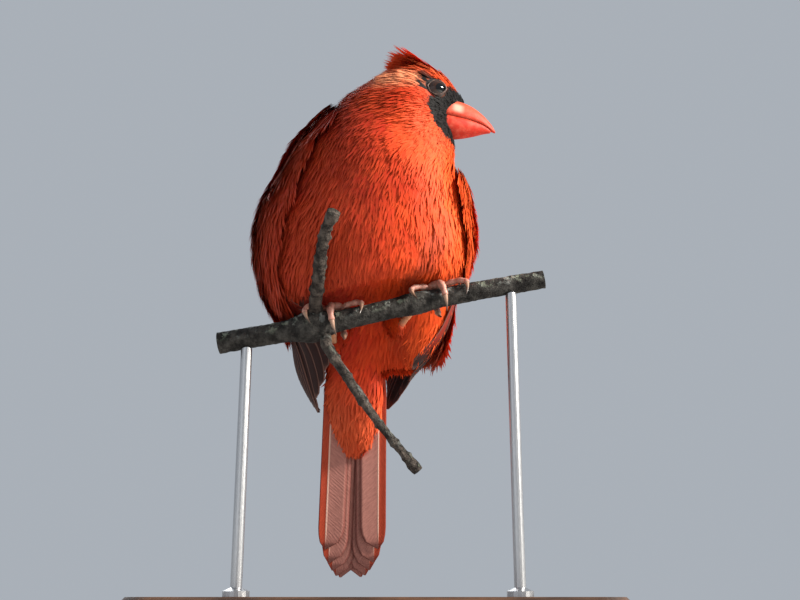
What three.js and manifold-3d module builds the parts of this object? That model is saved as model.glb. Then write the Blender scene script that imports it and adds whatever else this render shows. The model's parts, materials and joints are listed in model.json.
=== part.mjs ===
// A life-size adult male northern cardinal on a cut length of branch, held up by a plain display stand.
// Millimetres, +Z up. The breast faces -Y and a little +X.
// The origin is the middle of the base's underside.
import * as THREE from "three";
import { mergeVertices } from "three/addons/utils/BufferGeometryUtils.js";
import Module from "manifold-3d";

const wasm = await Module();
wasm.setup();

// Driving dimensions
const GAP = 0.3; // left between pieces that touch
const BASE = { width: 150, depth: 96, height: 10, corner: 9, bevel: 1.2 };
const ROD = { radius: 2, collar: 4.5, collarHeight: 3, x: [-47, 47] };
const PERCH = {
  fromX: -57,
  toX: 59,
  height: 108.3,
  rise: 0.21,
  radiusLeft: 3.9,
  radiusRight: 3.4,
};
const PERCH_SWELLINGS = [
  { x: -24, extra: 2.2, spread: 6 }, // where the two twigs leave
  { x: 13, extra: 0.7, spread: 5 },
];
const BREAST_TURN = 17; // degrees of the breast towards +X
const HEAD_TURN = 97; // degrees of the bill from -Y towards +X
const HEAD_NOD = 9; // degrees of the bill below level
const TAIL = { length: 97, slope: 66, feathers: 6, thickness: 0.6, layer: 0.75 };
const COVERT_REACH = 36; // undertail coverts along the tail
const EYE = { out: -1.2, up: 0.3, radius: 3.9, stands: 0.9 }; // its front stands out of the skin
const LID = { ring: 2.95, thickness: 0.55, out: 2.75 };
const TARSUS_RADIUS = 1.35;
const CLAW_LENGTH = 6;
const RING_SIDES = 26;

const v3 = (x, y, z) => new THREE.Vector3(x, y, z);
const rad = THREE.MathUtils.degToRad;
const lerp = THREE.MathUtils.lerp;
const bell = (x, spread) => Math.exp(-((x / spread) ** 2));

function random(seed) {
  let state = seed;
  return () => {
    state = (state * 16807) % 2147483647;
    return state / 2147483647;
  };
}

// Directions. The trunk's axes: up towards the neck, out through the breast, and to the bird's left.
const trunkUp = v3(0.21, -0.31, 0.925).normalize();
const breastLevel = v3(Math.sin(rad(BREAST_TURN)), -Math.cos(rad(BREAST_TURN)), 0);
const trunkOut = breastLevel.clone().addScaledVector(trunkUp, -breastLevel.dot(trunkUp)).normalize();
const trunkLeft = trunkUp.clone().cross(trunkOut);

const nod = Math.cos(rad(HEAD_NOD));
const headOut = v3(
  nod * Math.sin(rad(HEAD_TURN)),
  -nod * Math.cos(rad(HEAD_TURN)),
  -Math.sin(rad(HEAD_NOD)),
);
const headRight = headOut.clone().cross(v3(0, 0, 1)).normalize();
const headUp = headRight.clone().cross(headOut);

const tailDown = v3(-0.03, Math.cos(rad(TAIL.slope)), -Math.sin(rad(TAIL.slope))).normalize();
const tailLeft = v3(1, 0.1, 0).addScaledVector(tailDown, -v3(1, 0.1, 0).dot(tailDown)).normalize();
const tailBack = tailLeft.clone().cross(tailDown).normalize(); // out of the tail's upper side

// Places
const vent = v3(-9.5, 26, 99);
const eyeLine = v3(20.3, -8.5, 186.5); // midway between the eyes
const headPoint = (out, up, right = 0) =>
  eyeLine
    .clone()
    .addScaledVector(headOut, out)
    .addScaledVector(headUp, up)
    .addScaledVector(headRight, right);

// The bird's outline is a smooth union of ellipsoids: centre, three axes and three radii.
const trunk = [trunkLeft, trunkOut, trunkUp];
const skull = [headRight, headOut, headUp];
const tailAxes = [tailLeft, tailBack, tailDown];
const FORMS = [
  { at: v3(-5.5, 9, 137), axes: trunk, radii: [38, 33, 42] }, // belly
  { at: v3(0, -1, 163), axes: trunk, radii: [28, 25, 24] }, // breast
  { at: v3(3.5, -3, 179), axes: trunk, radii: [18.5, 18, 17] }, // neck
  { at: vent.clone().addScaledVector(tailDown, 8), axes: tailAxes, radii: [12, 9.5, 31] }, // tail coverts
];
const HEAD_FORMS = [
  { at: headPoint(-5.3, 0.8), axes: skull, radii: [11.4, 13.8, 11.4] }, // skull
  { at: headPoint(3.8, -1.9), axes: skull, radii: [4.2, 9, 6.9] }, // forehead and lores
  { at: headPoint(-7.6, -8.6), axes: skull, radii: [12.3, 10.8, 10] }, // cheeks
  { at: headPoint(-0.5, -15.4), axes: skull, radii: [6.8, 8.5, 7.6] }, // throat
];
// What the tips of the folded wings lie on
const WING_BED = { at: v3(-9.5, 27, 103), axes: tailAxes, radii: [22.5, 13, 29] };
// The belly is drawn in behind the branch, where the legs come out.
const branchAlong = v3(1, 0, PERCH.rise).normalize();
const branchUp = v3(-PERCH.rise, 0, 1).normalize();
const LEG_HOLLOW = { at: v3(2, -8, 98), axes: [branchAlong, v3(0, 1, 0), branchUp], radii: [70, 25, 22] };
// The left flank hangs behind the leg.
const FLANK = { at: v3(13, 24, 114), axes: trunk, radii: [13, 12, 20] };
const BLEND = 9;
const HEAD_BLEND = 4;
const FLANK_BLEND = 6;
const WING_BED_BLEND = 8;

function ellipsoidField(p, { at, axes, radii }) {
  const d = p.clone().sub(at);
  const q = axes.map((axis, i) => d.dot(axis) / radii[i]);
  const inner = Math.hypot(...q);
  const slope = Math.hypot(...q.map((value, i) => value / radii[i]));
  return slope < 1e-9 ? -Math.min(...radii) : (inner * (inner - 1)) / slope;
}

function smoothUnion(values, blend) {
  return values.reduce((a, b) => {
    const h = Math.max(blend - Math.abs(a - b), 0) / blend;
    return Math.min(a, b) - (h * h * blend) / 4;
  });
}

function bodyField(p) {
  const union = (forms, blend) => smoothUnion(forms.map((form) => ellipsoidField(p, form)), blend);
  const full = smoothUnion([union(FORMS, BLEND), union(HEAD_FORMS, HEAD_BLEND)], BLEND);
  const hollowed = -smoothUnion([-full, ellipsoidField(p, LEG_HOLLOW)], BLEND);
  return smoothUnion([hollowed, ellipsoidField(p, FLANK)], FLANK_BLEND);
}
const wingField = (p) => smoothUnion([bodyField(p), ellipsoidField(p, WING_BED)], WING_BED_BLEND);

// The first point from `from` along `way` where the field reaches `level`.
function castRay(from, way, level, field = bodyField) {
  let near = 0;
  let far = 1.5;
  while (field(from.clone().addScaledVector(way, far)) < level && far < 80) {
    near = far;
    far += 1.5;
  }
  for (let i = 0; i < 14; i += 1) {
    const middle = (near + far) / 2;
    if (field(from.clone().addScaledVector(way, middle)) < level) near = middle;
    else far = middle;
  }
  return from.clone().addScaledVector(way, far);
}

// The line up through the bird, from the end of the tail coverts to the crown.
const spine = new THREE.CatmullRomCurve3([
  vent.clone().addScaledVector(tailDown, COVERT_REACH - 1),
  vent.clone().addScaledVector(tailDown, 16),
  vent,
  v3(-8, 24, 118),
  v3(-6, 8, 138),
  v3(-1.5, 0, 158),
  v3(5, -4, 174),
  v3(12, -8, 185),
  headPoint(-4, 4),
  headPoint(-4, 12),
]);
const NECK_FROM = 0.735;
const HEAD_FROM = 0.845;

// Where the spine is at share t, and the directions out through the breast and to the bird's left there.
function spineFrame(t) {
  const at = spine.getPointAt(t);
  const up = spine.getTangentAt(t);
  const turned = breastLevel.clone();
  const out = turned.addScaledVector(up, -turned.dot(up)).normalize();
  return { at, up, out, left: up.clone().cross(out) };
}

function outwards(frame, angle) {
  return frame.out.clone().multiplyScalar(Math.cos(angle)).addScaledVector(frame.left, Math.sin(angle));
}

function bodyRing(t, level) {
  const frame = spineFrame(t);
  return Array.from({ length: RING_SIDES }, (_, i) =>
    castRay(frame.at, outwards(frame, (2 * Math.PI * i) / RING_SIDES), level),
  );
}

// A closed surface through rings of points, with a fan at each end.
// The fans meet at the given points, or at the rings' middles.
function loft(rings, ends = []) {
  const sides = rings[0].length;
  const points = rings.flat();
  const middle = (ring) =>
    ring.reduce((sum, p) => sum.add(p), v3(0, 0, 0)).multiplyScalar(1 / ring.length);
  points.push(ends[0] ?? middle(rings[0]), ends[1] ?? middle(rings.at(-1)));
  const first = points.length - 2;
  const faces = [];
  for (let r = 0; r < rings.length - 1; r += 1)
    for (let i = 0; i < sides; i += 1) {
      const j = (i + 1) % sides;
      const a = r * sides + i;
      const b = r * sides + j;
      faces.push(a, b, a + sides, b, b + sides, a + sides);
    }
  const top = (rings.length - 1) * sides;
  for (let i = 0; i < sides; i += 1) {
    const j = (i + 1) % sides;
    faces.push(first, j, i, first + 1, top + i, top + j);
  }
  return solid(points, faces);
}

// A manifold solid from points and triangles, turned right side out.
function solid(points, faces) {
  const geometry = new THREE.BufferGeometry().setFromPoints(points).setIndex(faces);
  return solidOf(geometry);
}

function solidOf(geometry) {
  const bare = geometry.clone();
  bare.deleteAttribute("normal");
  bare.deleteAttribute("uv");
  const merged = mergeVertices(bare, 1e-4);
  const build = (triVerts) =>
    new wasm.Manifold(
      new wasm.Mesh({ numProp: 3, vertProperties: merged.attributes.position.array, triVerts }),
    );
  const found = merged.index.array;
  const kept = [];
  for (let i = 0; i < found.length; i += 3) {
    const [a, b, c] = [found[i], found[i + 1], found[i + 2]];
    if (a !== b && b !== c && c !== a) kept.push(a, b, c);
  }
  const triVerts = new Uint32Array(kept);
  const made = build(triVerts);
  if (made.volume() > 0) return made;
  for (let i = 0; i < triVerts.length; i += 3)
    [triVerts[i + 1], triVerts[i + 2]] = [triVerts[i + 2], triVerts[i + 1]];
  return build(triVerts);
}

const join = (solids) => solids.reduce((a, b) => a.add(b));
const cut = (from, tools) => tools.reduce((a, b) => a.subtract(b), from);

function largest(made) {
  return made.decompose().reduce((a, b) => (a.volume() > b.volume() ? a : b));
}

const part = new THREE.Group();

function addNode(name, made, material) {
  const kept = largest(made);
  const { numProp, vertProperties, triVerts } = kept.getMesh();
  const positions = new Float32Array((vertProperties.length / numProp) * 3);
  for (let i = 0; i < positions.length / 3; i += 1)
    positions.set(vertProperties.subarray(i * numProp, i * numProp + 3), i * 3);
  const geometry = new THREE.BufferGeometry();
  geometry.setAttribute("position", new THREE.BufferAttribute(positions, 3));
  geometry.setIndex(new THREE.BufferAttribute(new Uint32Array(triVerts), 1));
  geometry.computeVertexNormals();
  const mesh = new THREE.Mesh(geometry, material);
  mesh.name = name;
  part.add(mesh);
  return kept;
}

const matte = (color, roughness = 0.8) =>
  new THREE.MeshStandardMaterial({ color, roughness, metalness: 0 });
const plumageRed = matte(0xc8301a);
const wingBrown = matte(0x6b3027);
const tailRed = matte(0xa8402e, 0.7);
const billCoral = matte(0xd8503a, 0.45);
const eyeBlack = matte(0x0d0907, 0.1);
const legPink = matte(0xa8645a, 0.6);
const clawHorn = matte(0x5a4238, 0.5);
const bark = matte(0x5c5852, 0.95);
const standWood = matte(0x4a3222, 0.5);
const steel = new THREE.MeshStandardMaterial({ color: 0xb8babd, roughness: 0.3, metalness: 1 });

// A ball squashed along three axes.
function ellipsoid(at, axes, radii, widthSegments = 14, heightSegments = 8) {
  const ball = new THREE.SphereGeometry(1, widthSegments, heightSegments);
  const scaled = axes.map((a, i) => a.clone().multiplyScalar(radii[i]));
  ball.applyMatrix4(new THREE.Matrix4().makeBasis(...scaled));
  ball.translate(at.x, at.y, at.z);
  return solidOf(ball);
}

// A tube of round sections along a smooth curve through points, with a radius for each share of its length.
// `extra` makes it that much larger all round and at both ends.
function tube(points, radiusAt, steps, sides = 8, extra = 0) {
  const curve = points.length > 1 && !points.getPointAt ? new THREE.CatmullRomCurve3(points) : points;
  const rings = [];
  let side = null;
  for (let k = 0; k <= steps; k += 1) {
    const t = k / steps;
    const along = curve.getTangentAt(t);
    const hint = side ?? (Math.abs(along.y) < 0.8 ? v3(0, 1, 0) : v3(1, 0, 0));
    side = hint.clone().addScaledVector(along, -hint.dot(along)).normalize();
    const other = along.clone().cross(side);
    const end = t === 0 ? -1 : Number(t === 1);
    const centre = curve.getPointAt(t).addScaledVector(along, end * extra);
    const radius = radiusAt(t) + extra;
    rings.push(
      Array.from({ length: sides }, (_, i) => {
        const a = (2 * Math.PI * i) / sides;
        const point = centre.clone().addScaledVector(side, radius * Math.cos(a));
        return point.addScaledVector(other, radius * Math.sin(a));
      }),
    );
  }
  return loft(rings);
}

// A thin vane. Each station holds left, middle and right points of the outer face,
// and the way down from them to the inner face.
function vane(stations) {
  const n = stations.length;
  const points = stations.flatMap(({ outer, down }) => [
    ...outer,
    ...outer.map((p) => p.clone().add(down)),
  ]);
  const faces = [];
  for (let k = 0; k < n - 1; k += 1) {
    const a = 6 * k;
    const b = a + 6;
    for (const c of [0, 1]) {
      faces.push(a + c, a + c + 1, b + c, a + c + 1, b + c + 1, b + c);
      faces.push(a + 3 + c, b + 3 + c, a + 4 + c, a + 4 + c, b + 3 + c, b + 4 + c);
    }
    faces.push(a, b, a + 3, b, b + 3, a + 3);
    faces.push(a + 2, a + 5, b + 2, b + 2, a + 5, b + 5);
  }
  const e = 6 * (n - 1);
  faces.push(0, 3, 1, 1, 3, 4, 1, 4, 2, 2, 4, 5);
  faces.push(e, e + 1, e + 3, e + 1, e + 4, e + 3, e + 1, e + 2, e + 4, e + 2, e + 5, e + 4);
  return solid(points, faces);
}

// The share of full width along a feather: narrow at the root, round at the tip.
function featherWidth(t, tip) {
  const rounded = t > tip ? Math.sqrt(Math.max(0.03, 1 - ((t - tip) / (1 - tip)) ** 2)) : 1;
  return Math.min(1, 0.55 + 1.6 * t) * rounded;
}
const VANE_STEPS = [0, 0.25, 0.5, 0.72, 0.86, 0.95, 1];
const OUTER_WEB = 2.9;
const INNER_WEB = 7.2;

// Torso, neck and head
const share = (from, to, count) => Array.from({ length: count }, (_, i) => lerp(from, to, i / (count - 1)));
const spineLength = spine.getLength();
const half = GAP / 2 / spineLength;
const torsoRings = (level) => [0, ...share(0.03, NECK_FROM - half, 21)].map((t) => bodyRing(t, level));
const torsoEnd = (level) => castRay(spineFrame(0).at, tailDown, level);
const torso = loft(torsoRings(0), [torsoEnd(0)]);
const torsoClear = loft(torsoRings(GAP), [torsoEnd(GAP)]);
addNode("torso", torso, plumageRed);
addNode("neck", loft(share(NECK_FROM + half, HEAD_FROM - half, 6).map((t) => bodyRing(t, 0))), plumageRed);

const headShares = [HEAD_FROM + half, 0.875, 0.905, 0.93, 0.95, 0.967, 0.982, 1];
const crown = (level) => castRay(spineFrame(1).at, spineFrame(1).up, level);
const skin = (level) => loft(headShares.map((t) => bodyRing(t, level)), [undefined, crown(level)]);
const headClear = skin(GAP);

// Where a ray from inside the head along the eye line meets the skin, on each side
const eyeCentre = (side) => {
  const way = headRight.clone().multiplyScalar(side);
  return castRay(headPoint(EYE.out, EYE.up), way, 0).addScaledVector(way, -EYE.radius + EYE.stands);
};

function lids(side) {
  const centre = eyeCentre(side);
  const ring = new THREE.TorusGeometry(LID.ring, LID.thickness, 6, 16);
  ring.scale(1.08, 0.9, 1);
  ring.applyMatrix4(new THREE.Matrix4().makeBasis(headOut, headUp, headRight.clone().multiplyScalar(side)));
  const at = centre.clone().addScaledVector(headRight, side * LID.out);
  ring.translate(at.x, at.y, at.z);
  return solidOf(ring);
}

// The crest: tapered feathers rooted along the crown, the longest in the middle, swept up and back.
const CREST_ROWS = [
  { out: 0, length: 13, lift: 0.24 },
  { out: -2.5, length: 15.5, lift: 0.36 },
  { out: -5, length: 14, lift: 0.3 },
  { out: -7.5, length: 12.5, lift: 0.16 },
  { out: -10, length: 11, lift: 0 },
  { out: -12.5, length: 9, lift: -0.16 },
];
const CREST_SPREAD = 0.09; // how much each place off the middle turns a feather outwards
const CREST_HALF_WIDTH = 1.75;
const CREST_SEED = 8;
function crestFeather(row, across, draw) {
  const inside = headPoint(-4, -1);
  const aim = headPoint(row.out + draw() - 0.5, 9, across * 1.35 + 0.4 * (draw() - 0.5));
  const root = castRay(inside, aim.sub(inside).normalize(), -1.6);
  const way = headOut.clone().multiplyScalar(-1);
  way.addScaledVector(headUp, row.lift - CREST_SPREAD * Math.abs(across));
  way.addScaledVector(headRight, across * CREST_SPREAD).normalize();
  const length = row.length * (1 - 0.1 * Math.abs(across)) * (0.92 + 0.16 * draw());
  const side = headRight.clone();
  const normal = side.clone().cross(way).normalize();
  if (normal.dot(headUp) < 0) normal.negate();
  const stations = [0, 0.35, 0.7, 1].map((t) => {
    const middle = root.clone().addScaledVector(way, length * t);
    middle.addScaledVector(normal, 2.2 * t * t - 1.6 * t);
    const width = CREST_HALF_WIDTH * [0.8, 1, 0.7, 0.12][Math.round(t * 3)];
    const outer = [-1, 0, 1].map((c) =>
      middle.clone().addScaledVector(side, c * width).addScaledVector(normal, c ? -0.35 : 0),
    );
    return { outer, down: normal.clone().multiplyScalar(-lerp(1.1, 0.5, t)) };
  });
  return vane(stations);
}
function crest() {
  const draw = random(CREST_SEED);
  const rows = CREST_ROWS.flatMap((row, r) =>
    (r % 2 ? [-2, 0, 2] : [-3, -1, 1, 3]).map((across) => crestFeather(row, across, draw)),
  );
  return join(rows);
}
const eyeBall = (side, radius) => ellipsoid(eyeCentre(side), skull, Array(3).fill(radius), 18, 12);
const headSolid = cut(
  join([skin(0), crest(), lids(1), lids(-1)]),
  [1, -1].map((side) => eyeBall(side, EYE.radius + GAP)),
);
// The crest ends above the neck, and nothing of the head crosses the cut below it.
const headKeepOut = loft(share(NECK_FROM, HEAD_FROM, 4).map((t) => bodyRing(t, GAP)));
addNode("head", headSolid.subtract(headKeepOut), plumageRed);
for (const [name, side] of [["eye_left", -1], ["eye_right", 1]])
  addNode(name, eyeBall(side, EYE.radius), eyeBlack);

// The bill: two half cones that meet along the line of the mouth.
// Each station has its distance out from the eye line, two heights and a half width.
const UPPER_BILL = [
  { out: -1, top: 0.2, low: -6.6, wide: 6.6 },
  { out: 3, top: 1.2, low: -6.8, wide: 6.8 },
  { out: 8, top: 1.6, low: -6.6, wide: 6.2 },
  { out: 12.5, top: 1.0, low: -6.2, wide: 5.1 },
  { out: 16.2, top: -0.6, low: -6.0, wide: 3.9 },
  { out: 19.4, top: -2.6, low: -6.3, wide: 2.5 },
  { out: 21.8, top: -4.6, low: -6.9, wide: 1.2 },
  { out: 23.6, top: -6.9, low: -7.6, wide: 0.35 },
];
const LOWER_BILL = [
  { out: -1, top: -7.1, low: -12.4, wide: 6.4 },
  { out: 3, top: -7.3, low: -13.6, wide: 6.5 },
  { out: 8, top: -7.1, low: -13.4, wide: 5.8 },
  { out: 12, top: -6.8, low: -12.2, wide: 4.8 },
  { out: 16, top: -6.6, low: -10.6, wide: 3.4 },
  { out: 19.4, top: -6.9, low: -8.9, wide: 2.0 },
  { out: 21.8, top: -7.6, low: -8.3, wide: 0.7 },
];
function billHalf(stations, upwards) {
  const rings = stations.map(({ out, top, low, wide }) => {
    const [flat, round] = upwards ? [low, top] : [top, low];
    return Array.from({ length: 14 }, (_, i) => {
      const a = (Math.PI * i) / 11;
      if (i > 11) return headPoint(out, flat, lerp(-wide, wide, (i - 11) / 3));
      const up = flat + (round - flat) * Math.sin(a) ** 0.85;
      return headPoint(out, up, Math.cos(a) * wide * (0.9 + 0.1 * Math.sin(2 * a)));
    });
  });
  return loft(rings);
}
const NOSTRIL = { out: 8.6, up: -1.8, aside: 5.2, radii: [1.3, 0.75, 0.6] };
const nostrils = [1, -1].map((side) =>
  ellipsoid(headPoint(NOSTRIL.out, NOSTRIL.up, side * NOSTRIL.aside), skull, NOSTRIL.radii, 10, 6),
);
addNode("upper_bill", cut(billHalf(UPPER_BILL, true), [headClear, ...nostrils]), billCoral);
addNode("lower_bill", cut(billHalf(LOWER_BILL, false), [headClear]), billCoral);

// Wings. A place on a folded wing is told by millimetres down the body from the shoulder,
// degrees round from the breast, and height over the body.
const SHOULDER = 0.79; // share of the spine
function wingPoint(side, down, angle, height) {
  const t = SHOULDER - down / spineLength;
  const frame = t >= 0 ? spineFrame(t) : spineFrame(0);
  if (t < 0) frame.at.addScaledVector(tailDown, -t * spineLength);
  return castRay(frame.at, outwards(frame, side * rad(angle)), height, wingField);
}

// A closed sheet between two grids of points, split alike on both faces.
function sheet(outer, inner) {
  const rows = outer.length;
  const columns = outer[0].length;
  const points = [...outer.flat(), ...inner.flat()];
  const under = rows * columns;
  const faces = [];
  for (let r = 0; r < rows - 1; r += 1)
    for (let c = 0; c < columns - 1; c += 1) {
      const a = r * columns + c;
      const b = a + columns;
      faces.push(a, a + 1, b, a + 1, b + 1, b);
      faces.push(under + a, under + b, under + a + 1, under + a + 1, under + b, under + b + 1);
    }
  const rim = [];
  for (let c = 0; c < columns; c += 1) rim.push(c);
  for (let r = 1; r < rows; r += 1) rim.push(r * columns + columns - 1);
  for (let c = columns - 2; c >= 0; c -= 1) rim.push((rows - 1) * columns + c);
  for (let r = rows - 2; r > 0; r -= 1) rim.push(r * columns);
  rim.forEach((a, i) => {
    const b = rim[(i + 1) % rim.length];
    faces.push(a, a + under, b, b, a + under, b + under);
  });
  return solid(points, faces);
}

// A folded wing is four tiers of overlapping feathers. Each feather's lower edge stands over the one
// nearer the flank, its upper edge runs under the next, and its rounded tip over the tier below.
// A tier ends `ends` millimetres down at its first and last feathers, and stands `height` over the
// body. `rows` share out its length, and `notch` is how far its tips round off.
const WING_FEATHERS = 8;
const WING_TOP = 5;
const TIER_STEP = 0.3; // how far a tier starts above the tips of the one before it
const WING_ANGLES = [[88, 150], [99, 128]]; // degrees spanned at the shoulder and at the tip
const WING_TIERS = [
  { ends: [25, 23], height: 3.5, notch: 2.5, rows: [0, 0.5, 1] }, // median coverts
  { ends: [44, 38], height: 2.8, notch: 3, rows: [0, 0.5, 1] }, // greater coverts
  { ends: [82, 57], height: 2.1, notch: 4, rows: [0, 0.35, 0.7, 1] }, // secondaries and tertials
  { ends: [107, 88], height: 1.4, notch: 5, rows: [0, 0.4, 0.75, 1] }, // primaries
];
const FEATHER_COLUMNS = [
  { place: 0.03, rise: 0.8, edge: 1 },
  { place: 0.4, rise: 0.6, edge: 0 },
  { place: 1, rise: 0, edge: 1 },
];
const WING_INNER = 0.8; // height of a wing's inner face over the body
function wing(side) {
  const columns = share(0, WING_FEATHERS - 1, WING_FEATHERS).flatMap((i) =>
    FEATHER_COLUMNS.map(({ place, rise, edge }) => ({
      middle: (i + 0.5) / WING_FEATHERS,
      place: (i + place) / WING_FEATHERS,
      rise,
      edge,
    })),
  );
  const outer = WING_TIERS.flatMap((tier, r) =>
    tier.rows.map((t) =>
      columns.map(({ middle, place, rise, edge }) => {
        const tierEnd = ({ ends, notch }) => lerp(...ends, middle) - edge * notch;
        const start = r ? tierEnd(WING_TIERS[r - 1]) - TIER_STEP : WING_TOP;
        const end = tierEnd(tier);
        const last = r === WING_TIERS.length - 1 ? 0.3 * t ** 4 : 0; // tips narrow
        const across = lerp(place, middle, last);
        const down = lerp(start, end, t);
        const run = (down / WING_TIERS.at(-1).ends[0]) ** 2;
        const angle = lerp(...WING_ANGLES.map((span) => lerp(...span, across)), run);
        return { down, angle, height: tier.height + rise };
      }),
    ),
  );
  const grid = (height) =>
    outer.map((row) => row.map((p) => wingPoint(side, p.down, p.angle, height ?? p.height)));
  return sheet(grid(), grid(WING_INNER));
}
for (const [name, side] of [["wing_left", 1], ["wing_right", -1]])
  addNode(name, cut(wing(side), [torsoClear, headClear]), wingBrown);

// The tail: six feathers a side, the outermost lowest and shortest.
// Each has a narrow outer and a wide inner web.
const RECTRIX_LENGTH = [0.975, 1, 0.99, 0.965, 0.93, 0.87];
const tailRoot = vent.clone().addScaledVector(tailDown, -8);
function rectrix(side, i) {
  const length = TAIL.length * RECTRIX_LENGTH[i];
  const lift = TAIL.layer * (TAIL.feathers - 1) * 0.5 - TAIL.layer * i;
  const stations = VANE_STEPS.map((t) => {
    const across = side * lerp(1.2 + 1.45 * i, 2.6 + 1.55 * i, t);
    const width = featherWidth(t, 0.84);
    const sag = 3 * t * (1 - t);
    const at = (sideways, camber) =>
      tailRoot
        .clone()
        .addScaledVector(tailDown, length * t)
        .addScaledVector(tailLeft, across + side * sideways * width)
        .addScaledVector(tailBack, lift + camber + sag + side * 0.12);
    return {
      outer: [at(-INNER_WEB, -0.25), at(0, 0), at(OUTER_WEB, -0.2)],
      down: tailBack.clone().multiplyScalar(-TAIL.thickness),
    };
  });
  return vane(stations);
}
const tailFeathers = [1, -1].flatMap((side) => RECTRIX_LENGTH.map((_, i) => rectrix(side, i)));
// The feathers' quills are bound by a short core inside the coverts.
const tailCore = ellipsoid(vent.clone().addScaledVector(tailDown, 26), tailAxes, [8, 3.2, 16], 16, 8);
const tailSolid = cut(join([...tailFeathers, tailCore]), [torsoClear]);
addNode("tail", tailSolid, tailRed);

// The perch and its two twigs
const perchCentre = (x) =>
  v3(x, 1.2 * Math.sin(x / 21), PERCH.height + PERCH.rise * x + 0.8 * Math.sin(x / 17));
const perchRadius = (x) =>
  lerp(PERCH.radiusLeft, PERCH.radiusRight, (x - PERCH.fromX) / (PERCH.toX - PERCH.fromX)) +
  PERCH_SWELLINGS.reduce((sum, s) => sum + s.extra * bell(x - s.x, s.spread), 0);
const perchXs = share(PERCH.fromX, PERCH.toX, 30);
const branch = (extra) =>
  tube(perchXs.map(perchCentre), (t) => perchRadius(lerp(PERCH.fromX, PERCH.toX, t)), 34, 12, extra);
const perch = branch(0);
const perchClear = branch(GAP);
addNode("perch", perch, bark);

const TWIG_UP = [
  v3(-23, -1, 105),
  v3(-22.5, -7, 110),
  v3(-21.1, -16, 114.5),
  v3(-19.1, -27, 122.8),
  v3(-17.3, -33, 127.6),
  v3(-14.5, -38, 131.5),
];
const TWIG_DOWN = [
  v3(-19.5, -1, 100),
  v3(-18.3, -4, 94.5),
  v3(-11.4, -6, 83.6),
  v3(-1.2, -8, 68.2),
  v3(6.5, -9.5, 58.5),
  v3(13.1, -10.5, 50.3),
];
// A twig tapers, swells at its rings of scars and ends in a knob.
const upRadius = (t) =>
  lerp(2.5, 1.7, t) + 0.3 * Math.max(0, Math.sin(26 * t)) + 0.7 * bell(t - 0.96, 0.05);
const downRadius = (t) =>
  lerp(2.0, 1.25, t) + 0.2 * Math.max(0, Math.sin(17 * t)) + 0.9 * bell(t - 0.96, 0.05);
const twigUp = (extra) => tube(TWIG_UP, upRadius, 20, 8, extra);
const twigDown = (extra) => tube(TWIG_DOWN, downRadius, 20, 8, extra);
const twigsClear = [twigUp(GAP), twigDown(GAP)];
addNode("twig_up", cut(twigUp(0), [perchClear]), bark);
addNode("twig_down", cut(twigDown(0), [perchClear]), bark);

// Legs. Each foot has a place along the branch; its toes run round the branch in planes across it.
const LEGS = [
  { name: "left", footX: 21.5, heel: v3(5.5, 14.5, 105), knee: v3(4, 18, 117), out: 1 },
  { name: "right", footX: -15.4, heel: v3(-17.5, 15, 98.5), knee: v3(-14, 20, 112), out: -1 },
];
// Angles round the branch: 0 in front, 90 on top, 180 behind
const TOES = [
  { name: "middle", shift: 0.3, lean: 1.2, from: 112, to: -8, radius: 1.35 },
  { name: "inner", shift: -2, lean: -7.5, from: 112, to: 38, radius: 1.1 },
  { name: "outer", shift: 2, lean: 8, from: 112, to: 30, radius: 1.1 },
  { name: "hallux", shift: -0.4, lean: -1.2, from: 112, to: 240, radius: 1.4 },
];
const branchPoint = (x, angle, distance) =>
  perchCentre(x)
    .addScaledVector(v3(0, -1, 0), Math.cos(rad(angle)) * distance)
    .addScaledVector(branchUp, Math.sin(rad(angle)) * distance);

function toeCurve(leg, toe) {
  const points = share(0, 1, 7).map((t) => {
    const x = leg.footX + leg.out * lerp(toe.shift, toe.shift + toe.lean, Math.min(1, 1.3 * t));
    const clear = perchRadius(x) + GAP + toe.radius * 0.98;
    return branchPoint(x, lerp(toe.from, toe.to, t), clear);
  });
  return new THREE.CatmullRomCurve3(points);
}
const ANKLE = { angle: 118, stands: 4.6 };
const PALM = { angle: 104, stands: 1.5, radii: [3.4, 2.6, 1.8] };
const THIGH = { from: 8.5, to: 2.4 }; // radii at the body and at the heel
// A toe is thickest at its pads, one for each joint.
const toeRadius = (toe) => (t) => toe.radius * (1.02 - 0.22 * t + 0.1 * Math.cos(6 * Math.PI * t));

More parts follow.
